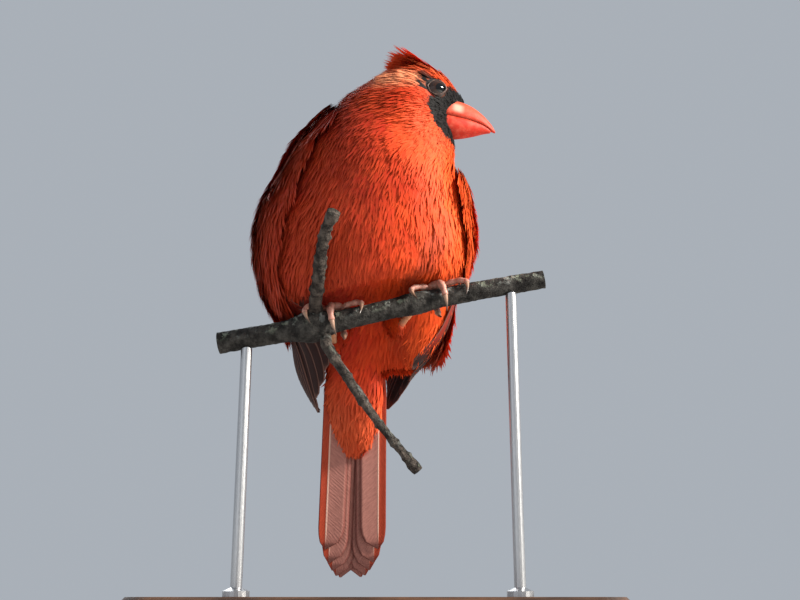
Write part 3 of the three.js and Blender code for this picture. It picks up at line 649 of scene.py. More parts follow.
def laying_tree(material):
    """Lays a tuft on each point along its lie, then gives each its own small patch of the bake map."""
    tree = bpy.data.node_groups.new("Lay feathers", "GeometryNodeTree")
    face = tree.interface
    face.new_socket("Geometry", in_out="INPUT", socket_type="NodeSocketGeometry")
    for name, default in (("Fullness", FULLNESS), ("Patch size", 0.003)):
        face.new_socket(name, in_out="INPUT", socket_type="NodeSocketFloat").default_value = default
    face.new_socket("Seed", in_out="INPUT", socket_type="NodeSocketInt").default_value = COAT_SEED
    face.new_socket("Geometry", in_out="OUTPUT", socket_type="NodeSocketGeometry")

    def node(kind, settings=None, inputs=None):
        made = tree.nodes.new(kind)
        for key, value in (settings or {}).items():
            setattr(made, key, value)
        for key, value in (inputs or {}).items():
            socket = made.inputs[key]
            if hasattr(value, "is_output"):
                tree.links.new(value, socket)
            else:
                socket.default_value = value
        return made

    def named(name, kind):
        read = node("GeometryNodeInputNamedAttribute", {"data_type": kind}, {"Name": name})
        return read.outputs["Attribute"]

    def vector_math(operation, inputs):
        return node("ShaderNodeVectorMath", {"operation": operation}, inputs).outputs[0]

    source = node("NodeGroupInput").outputs
    turn = node("FunctionNodeAxesToRotation", {"primary_axis": "Z", "secondary_axis": "Y"},
                {0: named("face", "FLOAT_VECTOR"), 1: named("lie", "FLOAT_VECTOR")})
    width = node("ShaderNodeMath", {"operation": "MULTIPLY"},
                 {0: named("wide", "FLOAT"), 1: source["Fullness"]})
    sizes = {0: width.outputs[0], 1: named("long", "FLOAT"), 2: named("deep", "FLOAT")}
    size = node("ShaderNodeCombineXYZ", None, sizes)
    pick = node("FunctionNodeRandomValue", {"data_type": "INT"}, {"Seed": source["Seed"]})
    for socket in pick.inputs:
        if socket.enabled and socket.name in ("Min", "Max"):
            socket.default_value = 0 if socket.name == "Min" else len(TUFT_SHAPES) - 1
    drawn = next(o for o in pick.outputs if o.enabled)
    tufts = node("GeometryNodeCollectionInfo", {"transform_space": "ORIGINAL"},
                 {"Collection": TUFTS, "Separate Children": True, "Reset Children": True})
    laid = node("GeometryNodeInstanceOnPoints", None, {
        "Points": source["Geometry"], "Instance": tufts.outputs[0], "Pick Instance": True,
        "Instance Index": drawn, "Rotation": turn.outputs[0], "Scale": size.outputs[0]})
    real = node("GeometryNodeRealizeInstances", None, {"Geometry": laid.outputs[0]})
    centred = vector_math("SUBTRACT", {0: named("local", "FLOAT_VECTOR"), 1: (0.5, 0.5, 0)})
    small = vector_math("SCALE", {0: centred, "Scale": source["Patch size"]})
    patch = vector_math("ADD", {0: small, 1: named("spot", "FLOAT_VECTOR")})
    mapped = node("GeometryNodeStoreNamedAttribute", {"data_type": "FLOAT2", "domain": "CORNER"},
                  {"Geometry": real.outputs[0], "Name": "OFBake", "Value": patch})
    done = node("GeometryNodeSetMaterial", None, {"Geometry": mapped.outputs[0], "Material": material})
    tree.links.new(done.outputs[0], node("NodeGroupOutput").inputs[0])
    return tree


def lay_feathers(name, at, face, lie, sizes, tone, spot):
    """One piece of coat from its feathers' roots and ways, and how long, wide and deep each feather is."""
    mesh = bpy.data.meshes.new(name)
    mesh.vertices.add(len(at))
    mesh.vertices.foreach_set("co", (at * MM).astype(np.float32).ravel())
    ways = {"face": face, "lie": lie, "root": at * MM, "spot": np.column_stack([spot, np.zeros(len(spot))])}
    for key, data in ways.items():
        layer = mesh.attributes.new(key, "FLOAT_VECTOR", "POINT")
        layer.data.foreach_set("vector", np.asarray(data, dtype=np.float32).ravel())
    numbers = {key: size * MM for key, size in zip(("long", "wide", "deep"), sizes)}
    for key, data in {**numbers, "tone": tone}.items():
        layer = mesh.attributes.new(key, "FLOAT", "POINT")
        layer.data.foreach_set("value", np.asarray(data, dtype=np.float32))
    piece = bpy.data.objects.new(name, mesh)
    bpy.context.scene.collection.objects.link(piece)
    layer = piece.modifiers.new("Lay feathers", "NODES")
    layer.node_group = LAYING
    inputs = {item.name: item.identifier for item in LAYING.interface.items_tree if item.in_out == "INPUT"}
    layer[inputs["Fullness"]] = FULLNESS
    layer[inputs["Seed"]] = COAT_SEED
    laid = piece.evaluated_get(bpy.context.evaluated_depsgraph_get())
    plain_mesh = bpy.data.meshes.new_from_object(laid)
    piece.modifiers.clear()
    piece.data = plain_mesh
    for key in (*ways, *numbers, "local"):
        if key != "root" and key in plain_mesh.attributes:
            plain_mesh.attributes.remove(plain_mesh.attributes[key])
    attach(piece, "root")


LAYING = laying_tree(RED)


def scatter(grid, weight, count, draw):
    """Random rows and columns of places on a grid surface, more of them where weight is high."""
    beside = np.roll(grid, -1, axis=1)
    area = np.linalg.norm(np.cross(beside[:-1] - grid[:-1], grid[1:] - grid[:-1]), axis=-1)
    chance = (area * weight[:-1]).ravel()
    cells = draw.choice(len(chance), size=count, p=chance / chance.sum())
    row, col = np.divmod(cells, grid.shape[1])
    return row + draw.random(count), col + draw.random(count)


def read_grid(grid, row, col):
    """A grid's values between its rows and columns."""
    r0, c0 = row.astype(int), col.astype(int)
    fr, fc = (row - r0), (col - c0)
    c1 = (c0 + 1) % grid.shape[1]
    if grid.ndim == 3:
        fr, fc = fr[:, None], fc[:, None]
    low = grid[r0, c0] * (1 - fc) + grid[r0, c1] * fc
    high = grid[r0 + 1, c0] * (1 - fc) + grid[r0 + 1, c1] * fc
    return low * (1 - fr) + high * fr


def waves(p, size, seed):
    """Slow random swings over space, between about -1 and 1."""
    draw = np.random.default_rng(seed)
    total = np.zeros(len(p))
    for _ in range(5):
        way = unit(draw.normal(size=3))
        pitch = (2 * math.pi / size) * (0.7 + 0.6 * draw.random())
        total += np.sin(p @ way * pitch + 6.3 * draw.random())
    return total / 3


BILL_BASE = head_point(10, -6)


def lie_at(p, n, t):
    """The way the coat lies: back from the bill on the head, down the body, and along the tail coverts."""
    _, up, _, _ = spine_frames(t)
    down = -up
    from_bill = unit(p - BILL_BASE)
    head = smooth(NECK_FROM - 0.02, HEAD_FROM + 0.06, t)[:, None]
    way = down * (1 - head) + (0.9 * from_bill + 0.12 * down) * head
    way = unit(way - np.sum(way * n, axis=1, keepdims=True) * n)
    side = np.cross(n, way)
    swing = 0.2 * waves(p, 26, 3) + 0.12 * waves(p, 9, 4) + 0.1 * rng.normal(size=len(p))
    return unit(way + swing[:, None] * side)


def body_roots(count, weight, seed):
    draw = np.random.default_rng(seed)
    row, col = scatter(GRID_P, weight, count, draw)
    p, n = read_grid(GRID_P, row, col), unit(read_grid(GRID_N, row, col))
    t = row / (SKIN_ROWS - 1)
    angle = col * 2 * math.pi / SKIN_SIDES
    spot = np.column_stack([0.02 + 0.96 * col / SKIN_SIDES, 0.02 + 0.96 * t])
    return p, n, t, angle, spot


def head_coords(p):
    q = p - EYES
    return q @ HEAD_OUT, q @ HEAD_UP, q @ HEAD_RIGHT


BODY_COUNT, HEAD_COUNT, FACE_COUNT, THIGH_COUNT = 19000, 10000, 6000, 420


def clear_of_face(p):
    """Which roots are off the eyes and the bill."""
    near_eye = np.min([np.linalg.norm(p - centre, axis=1) for centre in EYE_AT.values()], axis=0)
    out, up, right = head_coords(p)
    bill = (out > 7.5) & (np.abs(right) < 5.2) & (up < 0.3) & (up > -13)
    return (near_eye > EYE_RADIUS + 0.45) & ~bill


def stand_off(count):
    """How much each feather stands off: most lie flat, a few rise over the others."""
    return 0.6 + 0.9 * rng.random(count) ** 2


def body_feathers():
    weight = 1 - smooth(NECK_FROM + 0.02, HEAD_FROM, GRID_T)
    roots = body_roots(BODY_COUNT, weight, 21)
    t = roots[2]
    long = 11.2 + 0.8 * rng.normal(size=len(t)) - 2.2 * smooth(0.6, 0.8, t)
    long = long * (1 - 0.25 * (1 - smooth(0, 0.1, t)))
    return roots, long, long * stand_off(len(t))


def head_feathers():
    """They shorten towards the face."""
    roots = body_roots(HEAD_COUNT, smooth(NECK_FROM - 0.04, HEAD_FROM - 0.03, GRID_T), 22)
    p, t = roots[0], roots[2]
    toward_face = smooth(-12, 6, head_coords(p)[0]) * smooth(NECK_FROM, HEAD_FROM, t)
    long = mixed(8.6, 3.4, toward_face) * (0.85 + 0.3 * rng.random(len(p)))
    return roots, long, long * stand_off(len(p))


def face_feathers():
    """The smallest, round the bill and the eyes."""
    out, up, _ = head_coords(GRID_P)
    weight = smooth(-4, 5, out) * smooth(-22, -15, up) * (GRID_T > 0.78)
    roots = body_roots(FACE_COUNT, weight, 23)
    long = 2.3 + 0.8 * rng.random(len(roots[2]))
    return roots, long, long * 0.8


def coat():
    """The coat's feathers, split round the body into pieces."""
    areas = (
        ("coat_body", 5, body_feathers()),
        ("coat_head", 3, head_feathers()),
        ("coat_face", 2, face_feathers()))
    for name, parts, (roots, long, deep) in areas:
        keep = clear_of_face(roots[0])
        p, n, t, angle, spot, long, deep = (values[keep] for values in (*roots, long, deep))
        lie = lie_at(p, n, t)
        tone = np.clip(0.5 + 0.35 * waves(p, 12, 8) + 0.25 * rng.normal(size=len(p)), 0, 1)
        sector = np.minimum((angle / (2 * math.pi) * parts).astype(int), parts - 1)
        for k in range(sector.max() + 1):
            s = sector == k
            lay_feathers(f"{name}_{k}", p[s], n[s], lie[s], (long[s], long[s], deep[s]), tone[s], spot[s])


def trousers():
    """Short feathers over the heels."""
    for name, leg in LEGS.items():
        rings = thigh_rings(leg)
        draw = np.random.default_rng(51)
        row, col = scatter(rings, np.ones(rings.shape[:2]), THIGH_COUNT, draw)
        p = read_grid(rings, row, col)
        way = unit(leg["heel"] - leg["knee"])
        middle = leg["knee"] + ((p - leg["knee"]) @ way)[:, None] * way
        lie = unit(way + 0.12 * rng.normal(size=p.shape))
        long = 4.2 + 1.5 * rng.random(len(p))
        tone = rng.random(len(p))
        spot = np.column_stack([0.02 + 0.1 * col / rings.shape[1], 0.985 + 0.01 * row / rings.shape[0]])
        sizes = (long, long * 0.9, long * 0.9)
        lay_feathers(f"coat_thigh_{name}", p, unit(p - middle), lie, sizes, tone, spot)


coat()
trousers()

# How far back from the eye line a crest feather is rooted, how long it is, and how steeply it rises
CREST = np.array([
    (-14, 8, -0.3), (-12.5, 9.5, -0.14), (-10, 12.5, 0.08), (-7.5, 15, 0.3),
    (-5, 17.5, 0.44), (-2.5, 18, 0.42), (0, 13, 0.28), (3, 8, 0.4)])
CREST_FEATHERS = 420


def crest():
    """Long narrow feathers from the crown, swept up and back to a point."""
    draw = np.random.default_rng(17)
    out = draw.uniform(CREST[0, 0], CREST[-1, 0], CREST_FEATHERS)
    right = draw.normal(size=CREST_FEATHERS) * mixed(3.4, 2.4, smooth(-13, 3, out))
    inside = head_point(-4, -1)
    aim = EYES + np.outer(out, HEAD_OUT) + 9 * HEAD_UP + np.outer(right * 1.35, HEAD_RIGHT) - inside
    root = cast(np.broadcast_to(inside, aim.shape), unit(aim), -0.8)
    peak = np.interp(out, CREST[:, 0], CREST[:, 1])
    lift = np.interp(out, CREST[:, 0], CREST[:, 2]) - 0.05 * np.abs(right)
    way = -HEAD_OUT + lift[:, None] * HEAD_UP + (right * 0.03)[:, None] * HEAD_RIGHT
    way = unit(way + 0.05 * draw.normal(size=aim.shape))
    n = slope_of(root)
    n = unit(n - np.sum(n * way, axis=1, keepdims=True) * way)
    long = peak * (0.6 + 0.42 * draw.random(CREST_FEATHERS)) * (1 - 0.05 * np.abs(right))
    tone = draw.random(CREST_FEATHERS)
    spot = np.column_stack([0.3 + 0.3 * (right + 12) / 24, 0.9 + 0.08 * (out + 13) / 18])
    lay_feathers("coat_crest", root, n, way, (long, long * 0.7, long * 0.75), tone, spot)


crest()

# Flight feathers, coverts and tail

VANE_ROWS, VANE_COLUMNS = 20, 9


def vane_width(t, tip):
    body = np.minimum(1, 0.5 + 1.8 * t)
    end = np.where(t > tip, np.sqrt(np.maximum(0.004, 1 - ((t - tip) / (1 - tip)) ** 2)), 1)
    return body * end


def closed_sheet(outer, inner):
    """Points and faces of a thin closed sheet between two grids."""
    rows, cols, _ = outer.shape
    index = np.arange(rows * cols).reshape(rows, cols)
    a, b, c, d = index[:-1, :-1], index[:-1, 1:], index[1:, 1:], index[1:, :-1]
    top = np.stack([a, b, c, d], axis=-1).reshape(-1, 4)
    under = top[:, ::-1] + rows * cols
    rim = np.concatenate([index[0, :-1], index[:-1, -1], index[-1, :0:-1], index[:0:-1, 0]])
    nxt = np.roll(rim, -1)
    edge = np.stack([nxt, rim, rim + rows * cols, nxt + rows * cols], axis=-1)
    points = np.vstack([outer.reshape(-1, 3), inner.reshape(-1, 3)])
    return points, [tuple(face) for face in np.vstack([top, under, edge])]


def vanes_piece(name, vanes, material, node):
    """One mesh from many vanes; each brings its grids, its own tone and its map."""
    parts, across, along, tone = [], [], [], []
    for outer, inner, s, t, shade in vanes:
        parts.append(closed_sheet(outer, inner))
        for _ in range(2):
            across.append(s.ravel())
            along.append(t.ravel())
            tone.append(np.full(s.size, shade))
    points, faces = joined(parts)
    values = {"across": np.concatenate(across), "along": np.concatenate(along), "tone": np.concatenate(tone)}
    piece = face_outwards(mesh_piece(name, points, faces, material, values=values))
    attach(piece, "root")
    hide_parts(node)


def vane_paint(name, inner, outer, edge, shaft, wing_shade_below_branch=0.0):
    """A flight feather: dark inner web, warmer outer web, pale shaft, fine slanting barbs."""
    paint = Paint(name, Roughness=0.6, Sheen_Weight=0.0, Specular_IOR_Level=0.16)
    across, along, tone = paint.value("across"), paint.value("along"), paint.value("tone")
    off_shaft = across.math("ABSOLUTE")
    slant = along * 46.0 - off_shaft * 3.4
    spread = paint.node("CombineXYZ", None, {0: slant + tone * 20.0, 1: across * 1.2})
    streak = paint.node("TexNoise", {"noise_dimensions": "2D"},
                        {"Vector": spread, "Scale": 2.2, "Detail": 3.0})
    web = paint.mix(across.step(-0.06, 0.06), inner, outer)
    web = paint.darken((streak - 0.35) * 1.1, web, (0.55, 0.5, 0.5))
    # Painted shade: wing feathers low down, below the branch, are painted near black, as if in the shade
    # under the body and branch.
    height = paint.measure(paint.place(), TRUNK_UP, v(0, 0, 0))
    web = paint.mix((1.0 - height.step(84.0, 94.0)) * wing_shade_below_branch, web, (0.014, 0.011, 0.011))
    web = paint.mix(off_shaft.step(0.86, 0.98) * 0.75, web, edge)
    web = paint.mix(along.step(0.93, 1.0) * 0.55, web, edge)
    web = paint.darken(tone * 0.35, web, (0.6, 0.55, 0.55))
    quill = across.near(0.0, 0.035, 0.075) * (1.0 - along.step(0.9, 1.0))
    paint.into("Base Color", paint.mix(quill, web, shaft))
    paint.bump((slant * 9.0).math("SINE") * 0.12 + quill * 3.0 + streak, 0.35, 0.00025)
    return paint.material


TAIL_PAINT = vane_paint(
    "Tail feather", inner=(0.52, 0.23, 0.19), outer=(0.52, 0.075, 0.035), edge=(0.16, 0.035, 0.028),
    shaft=(0.72, 0.45, 0.36))
WING_PAINT = vane_paint(
    "Wing feather", inner=(0.085, 0.026, 0.02), outer=(0.24, 0.024, 0.014), edge=(0.2, 0.1, 0.08),
    shaft=(0.09, 0.05, 0.04), wing_shade_below_branch=0.92)

TAIL_LENGTH = 97
TAIL_LAYER = 0.75  # from one tail feather to the next below it
INNER_WEB, OUTER_WEB = 7.2, 2.9
RECTRIX_LENGTH = (0.975, 1.0, 0.99, 0.965, 0.93, 0.87)  # from the middle pair outwards


def tail():
    root = VENT - 8 * TAIL_DOWN
    t, s = np.meshgrid(np.linspace(0, 1, 30), np.linspace(-1, 1, 13), indexing="ij")
    vanes = []
    for side in (1, -1):
        for i, share in enumerate(RECTRIX_LENGTH):
            lift = TAIL_LAYER * ((len(RECTRIX_LENGTH) - 1) / 2 - i)
            across = side * mixed(1.2 + 1.45 * i, 2.6 + 1.55 * i, t)
            width = vane_width(t, 0.84 + 0.01 * i)
            web = np.where(s < 0, INNER_WEB, OUTER_WEB) * s * width
            sag = 3 * t * (1 - t)
            camber = (0.03 * np.sin(40 * t + 9 * i) - 0.25 * width) * s ** 2
            height = lift + camber + sag + side * 0.12
            outer = root + (TAIL_LENGTH * share * t)[..., None] * TAIL_DOWN + height[..., None] * TAIL_BACK
            outer = outer + (across + side * web)[..., None] * TAIL_LEFT
            thick = 0.16 + 0.3 * hump(s, 0.09) * (1 - t)
            inner = outer - thick[..., None] * TAIL_BACK
            vanes.append((outer, inner, s, t, 0.15 + 0.12 * i + 0.1 * rng.random()))
    vanes_piece("tail_feathers", vanes, TAIL_PAINT, "tail")


tail()

SHOULDER = 0.79  # share of the spine
VANE_THICK = 0.3


def wing_points(side, down, angle, height):
    """Places on a folded wing: millimetres down from the shoulder, degrees round, height over the body."""
    t = SHOULDER - down / SPINE.length
    at, way = round_body(t.ravel(), side * np.radians(angle.ravel()))
    p = cast(at, way, height.ravel(), wing_field)
    return p.reshape(*down.shape, 3), at.reshape(*down.shape, 3)


def wing_vane(side, start, end, wide, height, tone, bow, tip):
    """A feather between two places on the wing, its lower edge over its neighbour's upper edge."""
    t, s = np.meshgrid(np.linspace(0, 1, VANE_ROWS), np.linspace(-1, 1, VANE_COLUMNS), indexing="ij")
    down = mixed(start[0], end[0], t)
    angle = mixed(start[1], end[1], t) + bow * np.sin(math.pi * t)
    h = mixed(height[0], height[1], t)
    centre, at = wing_points(side, down, angle, h)
    reach = np.maximum(9, np.linalg.norm(centre - at, axis=-1))
    spread = np.degrees(wide * vane_width(t, tip) / reach)
    h = h + 0.3 * s + 0.3 * (1 - s ** 2)
    outer, _ = wing_points(side, down, angle - s * spread, h)
    inner, _ = wing_points(side, down, angle - s * spread, h - VANE_THICK)
    return outer, inner, s, t, tone


# The tiers of a folded wing, from the body outwards. Each holds its number of feathers, the places of its
# first and last feathers (down and round at the root, then at the tip, then the heights of both), half their
# width, how far they bow and where their tips begin.
WING_TIERS = (
    (4, (50, 60, 88, 66, 0.1, 0.3), (50, 86, 105, 97, 0.1, 0.7), 3.4, 2, 0.8),  # under the primaries
    (6, (4, 88, 54, 90, 0.8, 0.9), (4, 150, 54, 152, 0.8, 0.9), 8, 0, 0.8),  # under the coverts
    (9, (30, 88, 106, 101, 1.0, 1.0), (30, 108, 92, 126, 1.6, 1.7), 3.6, 3, 0.88),  # primaries
    (7, (28, 100, 80, 114, 1.7, 1.8), (28, 132, 72, 138, 2.0, 2.1), 4.2, 4, 0.8),  # secondaries
    (3, (26, 128, 78, 132, 2.2, 2.2), (26, 148, 58, 149, 2.2, 2.5), 6, 0, 0.8),  # tertials
    (4, (22, 86, 50, 91, 2.0, 2.1), (22, 94, 42, 99, 2.0, 2.1), 2.6, 0, 0.8),  # primary coverts
    (11, (16, 90, 43, 95, 2.3, 2.5), (16, 148, 40, 150, 2.3, 2.9), 3.6, 0, 0.8),  # greater coverts
    (10, (9, 88, 27, 92, 2.5, 2.9), (9, 148, 27, 150, 2.5, 2.9), 3.6, 0, 0.8),  # median coverts
)


def wing_vanes(side):
    vanes = []
    for count, first, last, wide, bow, tip in WING_TIERS:
        for share in np.linspace(0, 1, count):
            place = mixed(np.array(first), np.array(last), share)
            tone = 0.2 + 0.5 * rng.random()
            vanes.append(wing_vane(side, place[:2], place[2:4], wide, place[4:], tone, bow, tip))
    return vanes


# Small feathers hide the shoulder, long soft ones of the flank fall over the wing's lower edge, and those of
# the back over its upper edge. Each kind has its number, its ranges down the wing and round it, and its turn.
SHOULDERS, FLANKS, BACKS = range(3)
COVER_COUNTS = (800, 1900, 500)
COVER_DOWN = np.array([(-3, 18), (-3, 74), (2, 60)])
COVER_ROUND = np.array([(78, 158), (72, 105), (144, 162)])
COVER_TURN = np.array([0, 1, -0.5])


def wing_cover(name, side):
    draw = np.random.default_rng(61)
    kind = np.repeat([SHOULDERS, FLANKS, BACKS], COVER_COUNTS)
    down = draw.uniform(*COVER_DOWN[kind].T)
    angle = draw.uniform(*COVER_ROUND[kind].T)
    heights = (0.8, 0.2 + 2.2 * smooth(82, 94, angle), 1.2 + 1.2 * smooth(156, 146, angle))
    p, _ = wing_points(side, down, angle, np.choose(kind, heights))
    t = SHOULDER - down / SPINE.length
    n = slope_of(p, wing_field)
    lie = lie_at(p, n, t)
    turn = COVER_TURN[kind] * draw.uniform(-0.05, 0.4, len(kind))
    lie = unit(lie - turn[:, None] * side * np.cross(n, lie))
    long = np.where(kind == FLANKS, 11, 9.5) + 3.5 * draw.random(len(kind))
    deep = long * np.where(kind == SHOULDERS, 1.1, 0.35 + 0.5 * draw.random(len(kind)))
    spot = np.column_stack([0.02 + 0.96 * ((side * angle) % 360) / 360, 0.02 + 0.96 * np.clip(t, 0, 1)])
    lay_feathers(f"coat_shoulder_{name}", p, n, lie, (long, long * 1.1, deep), draw.random(len(kind)), spot)


def wings():
    for name, side in (("left", 1), ("right", -1)):
        vanes_piece(f"wing_feathers_{name}", wing_vanes(side), WING_PAINT, f"wing_{name}")
        wing_cover(name, side)


wings()

# Bill

# How far out from the eye line, its top, its low side and half its width, all in the head's directions
UPPER_BILL = np.array([
    (-1, 0.2, -6.6, 6.6), (3, 1.2, -6.8, 6.8), (8, 1.6, -6.6, 6.2), (12.5, 1.0, -6.2, 5.1),
    (16.2, -0.6, -6.0, 3.9), (19.4, -2.6, -6.3, 2.5), (21.8, -4.6, -6.9, 1.2), (23.6, -6.9, -7.6, 0.35)])
LOWER_BILL = np.array([
    (-1, -6.8, -12.4, 6.4), (3, -7.0, -13.6, 6.5), (8, -6.8, -13.4, 5.8), (12, -6.4, -12.2, 4.8),
    (16, -6.2, -10.6, 3.4), (19.4, -6.5, -8.9, 2.0), (21.8, -7.2, -8.1, 0.7)])


def bill_paint():
    paint = Paint("Coral bill", Roughness=0.55, Specular_IOR_Level=0.2)
    out, up, _ = head_sums(paint, paint.place())
    mottle = paint.noise(500.0, 4.0)
    grain = paint.noise(260.0, 3.0, stretch=(1.0, 4.0, 4.0))
    # The bill is painted darker towards its underside: painted shade.
    colour = paint.mix(up.step(-9.0, -1.0), (0.46, 0.022, 0.008), (0.62, 0.075, 0.035))
    colour = paint.mix(mottle.step(0.4, 0.75) * 0.25, colour, (0.78, 0.22, 0.13))
    colour = paint.mix(grain.step(0.5, 0.8) * 0.3, colour, (0.45, 0.035, 0.02))
    pale = out.near(8.0, 0.5, 3.0) * up.near(-3.4, 0.6, 2.4)
    paint.into("Base Color", paint.mix(pale * 0.7, colour, (0.8, 0.5, 0.38)))
    paint.bump(mottle * 0.4 + grain, 0.25, 0.0003)
    return paint.material


BILL = bill_paint()


def softened(x):
    """A run of numbers averaged by fives, its ends kept."""
    soft = np.convolve(np.pad(x, 2, mode="edge"), np.ones(5) / 5, mode="valid")
    return np.concatenate([x[:1], soft[1:-1], x[-1:]])


def bill_half(name, table, upward, node):
    """It is flat where the halves meet and round on the other side."""
    t = np.linspace(0, 1, 40)
    share = np.linspace(0, 1, len(table))
    out, top, low, wide = (softened(np.interp(t, share, column)) for column in table.T)
    flat, curved = (low, top) if upward else (top, low)
    a = np.linspace(0, math.pi, 25)
    rings = []
    for k in range(len(t)):
        round_side = np.cos(a) * wide[k] * (0.9 + 0.1 * np.sin(2 * a))
        flat_side = np.linspace(-wide[k], wide[k], 9)[1:-1] * 0.9
        across = np.concatenate([round_side, flat_side])
        high = flat[k] + (curved[k] - flat[k]) * np.sin(a) ** 0.85
        high = np.concatenate([high, np.full(len(flat_side), flat[k])])
        rings.append(EYES + out[k] * HEAD_OUT + np.outer(high, HEAD_UP) + np.outer(across, HEAD_RIGHT))
    piece = face_outwards(mesh_piece(name, *loft(np.array(rings)), BILL))
    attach(piece, "root")
    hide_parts(node)


bill_half("bill_upper_horn", UPPER_BILL, True, "upper_bill")
bill_half("bill_lower_horn", LOWER_BILL, False, "lower_bill")

# Eyes

def eye_paint():
    paint = Paint("Dark eye", Roughness=0.05, Coat_Weight=0.4, Coat_Roughness=0.02, Specular_IOR_Level=0.35)
    out, up, _ = head_sums(paint, paint.place())
    ring = (out * out + up * up) ** 0.5
    paint.into("Base Color", paint.mix(ring.step(1.7, 1.9), (0.001, 0.001, 0.001), (0.035, 0.012, 0.005)))
    return paint.material


def lid_paint():
    paint = Paint("Lid skin", Roughness=0.5)
    speck = paint.noise(900.0, 3.0)
    paint.into("Base Color", paint.mix(speck.step(0.4, 0.7), (0.05, 0.03, 0.025), (0.22, 0.13, 0.1)))
    paint.bump(speck, 0.4, 0.0002)
    return paint.material


EYE, LID = eye_paint(), lid_paint()

LID_RADIUS = 2.95
LID_STANDS = 2.7  # out from the eye's centre


def eyeball(name, centre, way):
    axes = EYE_RADIUS * np.array([way, HEAD_OUT, HEAD_UP])
    points, faces = loft(ball_rings(centre, axes, 32, 48))
    points[-2:] = centre + axes[0], centre - axes[0]
    ball = face_outwards(mesh_piece(f"eyeball_{name}", points, faces, EYE))
    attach(ball, "root")
    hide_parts(f"eye_{name}")


def lids(name, centre, way):
    """A soft ring, drawn out a little at the front and back corners."""
    a, b = ring_angles(64), ring_angles(14)
    corner = 1 + 0.1 * hump(np.sin(a), 0.25)
    long, high = LID_RADIUS * 1.05 * corner, LID_RADIUS * 0.95
    ring = np.outer(np.cos(a) * long, HEAD_OUT) + np.outer(np.sin(a) * high, HEAD_UP)
    bead = (0.3 + 0.04 * np.sin(a * 22))[:, None]
    across = (bead * np.cos(b))[..., None] * unit(ring)[:, None] + (bead * np.sin(b))[..., None] * way
    rings = centre + LID_STANDS * way + ring[:, None] + across
    points, faces = loft(np.concatenate([rings, rings[:1]]), caps=False)
    lid = face_outwards(mesh_piece(f"lids_{name}", points, faces, LID))
    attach(lid, "root")


def eyes():
    for name, side in (("right", 1), ("left", -1)):
        eyeball(name, EYE_AT[side], HEAD_RIGHT * side)
        lids(name, EYE_AT[side], HEAD_RIGHT * side)


eyes()

# Branch and twigs

PERCH_FROM, PERCH_TO = -57, 59  # its ends along x


def perch_centre(x):
    x = np.asarray(x, dtype=float)
    return np.stack([x, 1.2 * np.sin(x / 21), 108.3 + PERCH_RISE * x + 0.8 * np.sin(x / 17)], axis=-1)


def perch_radius(x):
    thick = mixed(3.9, 3.4, (x - PERCH_FROM) / (PERCH_TO - PERCH_FROM))
    return thick + 2.2 * hump(x + 24, 6) + 0.7 * hump(x - 13, 5)


def bark_paint(name, dark, light, lichen):
    paint = Paint(name, Roughness=0.9, Specular_IOR_Level=0.25)
    place = paint.place()
    rough = paint.noise(260.0, 6.0, place, 0.65)
    plates = paint.noise(620.0, 5.0, place, 0.7)
    colour = paint.mix(rough.step(0.35, 0.7), dark, light)
    colour = paint.mix(plates.step(0.52, 0.7) * 0.6, colour, (0.012, 0.011, 0.01))
    up = paint.node("SeparateXYZ", None, {0: paint.node("NewGeometry", out="Normal")}, out=2)
    crust = paint.noise(330.0, 5.0, place, 0.6).step(0.5, 0.62) * up.step(-0.35, 0.6)
    tint = paint.mix(paint.noise(90.0, 2.0, place).step(0.4, 0.6), (0.26, 0.29, 0.22), (0.32, 0.33, 0.31))
    paint.into("Base Color", paint.mix(crust * lichen, colour, tint))
    paint.bump(rough * 1.6 + plates * 1.4 + crust, 1.0, 0.0014)
    return paint.material


BARK = bark_paint("Branch bark", (0.014, 0.012, 0.011), (0.085, 0.078, 0.07), 0.9)
TWIG = bark_paint("Twig bark", (0.018, 0.014, 0.012), (0.15, 0.12, 0.1), 0.4)


def rough_ripple(length, size, seed, scars=()):
    """Bumps in bark over a tube's share and angle, with a ring at each leaf scar."""
    draw = np.random.default_rng(seed)
    terms = [
        (draw.integers(1, 7), draw.uniform(2, 11) * length / 30, 6.3 * draw.random(), 6.3 * draw.random())
        for _ in range(16)]

    def ripple(t, a):
        total = 0
        for turns, runs, p1, p2 in terms:
            total = total + np.sin(turns * a + p1 + 2 * np.sin(runs * t * 1.7)) * np.sin(runs * t * 6.3 + p2)
        rings = sum(0.38 * hump(t - scar, 0.012) * (1 + 0.3 * np.sin(3 * a + 9 * scar)) for scar in scars)
        return size * total / 5 + rings

    return ripple


def bark_piece(name, rings, material, node):
    piece = face_outwards(mesh_piece(name, *loft(rings), material))
    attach(piece, "root")
    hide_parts(node)


def branch():
    def radius(t):
        return perch_radius(mixed(PERCH_FROM, PERCH_TO, t)) - 0.12

    path = Path(perch_centre(np.linspace(PERCH_FROM, PERCH_TO, 40)))
    ripple = rough_ripple(PERCH_TO - PERCH_FROM, 0.14, 5)
    bark_piece("branch", tube_rings(path, radius, 300, 40, ripple), BARK, "perch")


def twig(name, points, ends, swell, pitch, knob, scars):
    """A thinning stem that swells at its nodes, with a knob near its cut end."""
    def radius(t):
        nodes = swell * np.maximum(0, np.sin(pitch * t))
        return mixed(*ends, t) + nodes + knob * hump(t - 0.96, 0.05) - 0.1

    ripple = rough_ripple(40, 0.2, 8, scars)
    bark_piece(f"twig_{name}_bark", tube_rings(Path(points), radius, 150, 24, ripple), TWIG, f"twig_{name}")


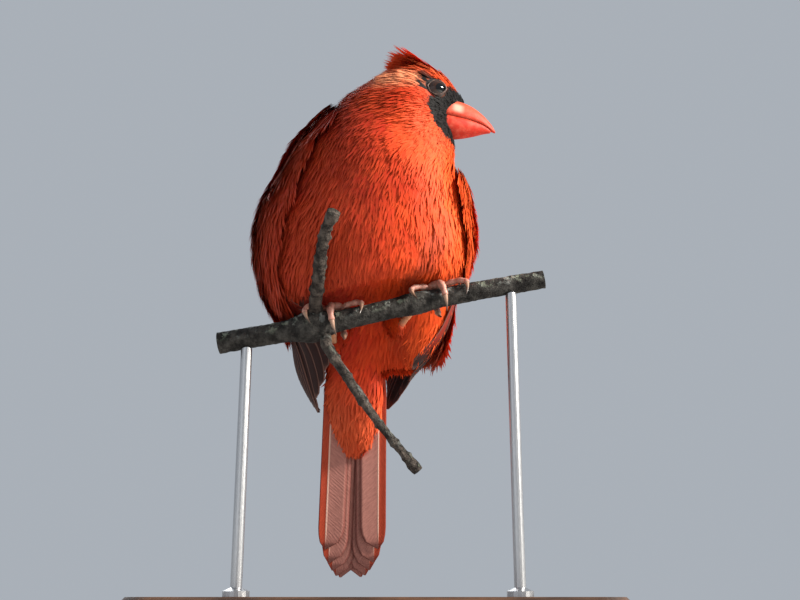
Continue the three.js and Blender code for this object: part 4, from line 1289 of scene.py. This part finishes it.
branch()
twig("up", [(-23, -1, 105), (-22.5, -7, 110), (-21.1, -16, 114.5), (-19.1, -27, 122.8), (-17.3, -33, 127.6),
            (-14.5, -38, 131.5)], (2.5, 1.7), 0.3, 26, 0.7, (0.3, 0.42, 0.52, 0.6, 0.7, 0.78, 0.86))
twig("down", [(-19.5, -1, 100), (-18.3, -4, 94.5), (-11.4, -6, 83.6), (-1.2, -8, 68.2), (6.5, -9.5, 58.5),
              (13.1, -10.5, 50.3)], (2.0, 1.25), 0.2, 17, 0.9, (0.2, 0.33, 0.5, 0.66, 0.8, 0.9))

# Legs and feet

def leg_paint(name, low, high):
    paint = Paint(name, Roughness=0.45, Subsurface_Weight=0.1, Subsurface_Scale=0.001)
    colour = paint.mix(paint.noise(400.0, 3.0).step(0.35, 0.65), low, high)
    between_scutes = 1.0 - paint.value("scute").step(0.0, 0.35)
    paint.into("Base Color", paint.darken(between_scutes, colour, (0.45, 0.4, 0.4)))
    paint.bump(paint.noise(1600.0, 3.0), 0.3, 0.0002)
    return paint.material


TOE_SKIN = leg_paint("Toe scales", (0.36, 0.15, 0.11), (0.55, 0.26, 0.2))
SHANK_SKIN = leg_paint("Shank scales", (0.42, 0.15, 0.07), (0.6, 0.27, 0.13))

# Where each toe starts along the branch from the leg, how far it leans outwards, where round the branch its
# tip is, its radius and its claw's length
TOES = {
    "middle": (0.3, 1.2, -8, 1.35, 5.4),
    "inner": (-2, -7.5, 38, 1.1, 5.4),
    "outer": (2, 8, 30, 1.1, 5.4),
    "hallux": (-0.4, -1.2, 240, 1.4, 6.6),
}
TOE_ROOT, PALM_ROUND, ANKLE_ROUND = 112, 104, 118  # degrees round the branch
PALM_OVER, ANKLE_OVER = 1.5, 4.6  # how far over the bark
SCUTE_HEIGHT = 0.16


def branch_point(x, angle, distance):
    """A place off the branch's middle, by degrees from its front up over its top."""
    a = np.radians(angle)
    return perch_centre(x) + distance * (np.cos(a) * v(0, -1, 0) + np.sin(a) * BRANCH_UP)


def toe_path(leg, shift, lean, tip, radius):
    points = []
    for t in np.linspace(0, 1, 7):
        x = leg["x"] + leg["out"] * mixed(shift, shift + lean, min(1, 1.3 * t))
        points.append(branch_point(x, mixed(TOE_ROOT, tip, t), perch_radius(x) + GAP + radius * 0.98))
    return Path(points)


def scaled_tube(path, radius, steps, sides, scutes):
    """A toe or shank with scutes across it: points, faces and how raised each point is."""
    def raised(t):
        saw = (t * scutes) % 1.0
        return np.minimum(1, saw * 5) * (1 - 0.5 * saw)

    rings = tube_rings(path, radius, steps, sides, lambda t, a: SCUTE_HEIGHT * (raised(t) - 0.5))
    points, faces = loft(rings)
    t = np.repeat(np.linspace(0, 1, steps + 1), sides)
    return points, faces, np.concatenate([raised(t), [0.5, 0.5]])


def skin_piece(name, parts, material, node):
    """One piece from several parts, each with its points, its faces and how raised each point is."""
    scute = np.concatenate([raised for _, _, raised in parts])
    points, faces = joined([part[:2] for part in parts])
    piece = face_outwards(mesh_piece(name, points, faces, material, values={"scute": scute}))
    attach(piece, "root")
    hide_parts(node)


def claw_paint():
    paint = Paint("Claw horn", Roughness=0.35, Coat_Weight=0.2)
    toward_tip = paint.value("scute").step(0.1, 0.85)
    paint.into("Base Color", paint.mix(toward_tip, (0.38, 0.22, 0.15), (0.05, 0.03, 0.022)))
    paint.bump(paint.noise(900.0, 2.0), 0.15, 0.0002)
    return paint.material


CLAW = claw_paint()


def shank(name, leg, ankle):
    def radius(t):
        return 1.35 * (1 + 0.4 * hump(t, 0.12) + 0.2 * hump(t - 1, 0.1)) - 0.05

    path = Path([leg["heel"], mixed(leg["heel"], ankle, 0.5), ankle])
    skin_piece(f"shank_{name}", [scaled_tube(path, radius, 150, 24, 8)], SHANK_SKIN, f"tarsus_{name}")


def toe(path, thick):
    """It has a pad at each joint and a blunt end."""
    def radius(t):
        pads = 1.0 - 0.22 * t + 0.1 * np.cos(6 * math.pi * t)
        return thick * pads * (0.75 + 0.25 * np.sqrt(np.clip((1.02 - t) * 12, 0, 1)))

    return scaled_tube(path, radius, 110, 20, 13)


def claw(name, path, thick, length, branch_middle):
    """It goes on from its toe and bends towards the branch."""
    steps, sides = 30, 16
    way = path.along(1.0)
    root = path.at(1.0) + way * GAP * 0.2
    hug = branch_middle - root
    hug = unit(hug - hug.dot(way) * way)
    s = np.linspace(0, 1, 6)[:, None]
    curve = Path(root + way * length * s + hug * 1.6 * s ** 2)
    points, faces = loft(tube_rings(curve, lambda t: thick * 0.68 * (1 - 0.9 * t), steps, sides))
    shade = np.concatenate([np.repeat(np.linspace(0, 1, steps + 1), sides), [0, 1]])
    skin_piece(f"claw_horn_{name}", [(points, faces, shade)], CLAW, f"claw_{name}")


def feet():
    for name, leg in LEGS.items():
        grip = float(perch_radius(leg["x"])) + GAP
        shank(name, leg, branch_point(leg["x"], ANKLE_ROUND, grip + ANKLE_OVER))
        parts = []
        for key, (shift, lean, tip, thick, claw_length) in TOES.items():
            path = toe_path(leg, shift, lean, tip, thick)
            parts.append(toe(path, thick))
            claw(f"{name}_{key}", path, thick, claw_length, perch_centre(leg["x"]))
        axes = (3.4 * BRANCH_ALONG, v(0, 2.6, 0), 1.8 * BRANCH_UP)
        palm = branch_point(leg["x"], PALM_ROUND, grip + PALM_OVER)
        points, faces = loft(ball_rings(palm, axes, 16, 28))
        parts.append((points, faces, np.full(len(points), 0.6)))
        skin_piece(f"toes_{name}", parts, TOE_SKIN, f"foot_{name}")


feet()

# Stand

def stand_finishes():
    wood = Paint("Dark oiled wood", Roughness=0.42, Coat_Weight=0.15, Coat_Roughness=0.35)
    grain = wood.noise(38.0, 6.0, rough=0.6, stretch=(1.0, 9.0, 9.0))
    pores = wood.noise(420.0, 3.0, stretch=(1.0, 12.0, 12.0))
    colour = wood.mix(grain.step(0.3, 0.7), (0.03, 0.013, 0.006), (0.12, 0.055, 0.026))
    wood.into("Base Color", wood.mix(pores.step(0.55, 0.75) * 0.6, colour, (0.012, 0.006, 0.003)))
    wood.bump(pores * -1.0 + grain * 0.3, 0.25, 0.0002)
    steel = Paint("Brushed steel", Metallic=1.0, Roughness=0.32)
    brushed = steel.noise(1500.0, 3.0, stretch=(6.0, 6.0, 0.4))
    steel.into("Base Color", steel.mix(brushed, (0.42, 0.42, 0.43), (0.66, 0.66, 0.67)))
    steel.into("Roughness", brushed * 0.25 + 0.22)
    for node, paint in (("stand_base", wood), ("stand_rod_left", steel), ("stand_rod_right", steel)):
        for material_slot in frame["nodes"][node].material_slots:
            material_slot.material = paint.material


stand_finishes()

# Room, light and camera

def room():
    paint = Paint("Pale floor", Roughness=0.7)
    paint.into("Base Color", paint.mix(paint.noise(6.0, 2.0), (0.56, 0.56, 0.55), (0.6, 0.6, 0.59)))
    half = 3000
    corners = [(-half, -half, 0), (half, -half, 0), (half, half, 0), (-half, half, 0)]
    mesh_piece("floor", corners, [(0, 1, 2, 3)], paint.material, smooth_shade=False)
    world = bpy.data.worlds.new("Studio")
    bpy.context.scene.world = world
    world.use_nodes = True
    ground = next(n for n in world.node_tree.nodes if n.type == "BACKGROUND")
    ground.inputs["Color"].default_value = (0.8, 0.87, 0.96, 1)
    ground.inputs["Strength"].default_value = 0.5
    bpy.context.scene.view_settings.view_transform = "Standard"


def lamp(name, place, aim, watts, size, colour):
    light = bpy.data.lights.new(name, "AREA")
    light.energy, light.size, light.color = watts, size, colour
    thing = bpy.data.objects.new(name, light)
    thing.location = place
    thing.rotation_euler = (Vector(aim) - Vector(place)).to_track_quat("-Z", "Y").to_euler()
    bpy.context.scene.collection.objects.link(thing)


def lights():
    aim = (0, 0, 0.14)
    lamp("key", (0.88, -0.3, 0.6), aim, 27, 0.18, (1.0, 0.95, 0.86))
    lamp("fill", (-0.6, -0.8, 0.2), aim, 1.0, 0.9, (0.9, 0.95, 1.0))
    lamp("rim", (-0.3, 0.7, 0.7), aim, 4, 0.5, (0.95, 0.98, 1.0))


VIEW_DISTANCE, VIEW_WIDTH = 1027, 800  # in pixels
LOOKS_UP = 16.5  # degrees


def camera():
    lens = bpy.data.cameras.new("camera")
    lens.sensor_width = 36
    lens.lens = lens.sensor_width * VIEW_DISTANCE / VIEW_WIDTH
    lens.clip_start = 0.01
    eye = bpy.data.objects.new("camera", lens)
    eye.location = (0.0071, -0.353, 0.008)
    eye.rotation_euler = (math.radians(90 + LOOKS_UP), 0, 0)
    bpy.context.scene.collection.objects.link(eye)
    bpy.context.scene.camera = eye


room()
lights()
camera()
for tuft in list(TUFTS.objects):
    bpy.data.objects.remove(tuft)
bpy.data.collections.remove(TUFTS)
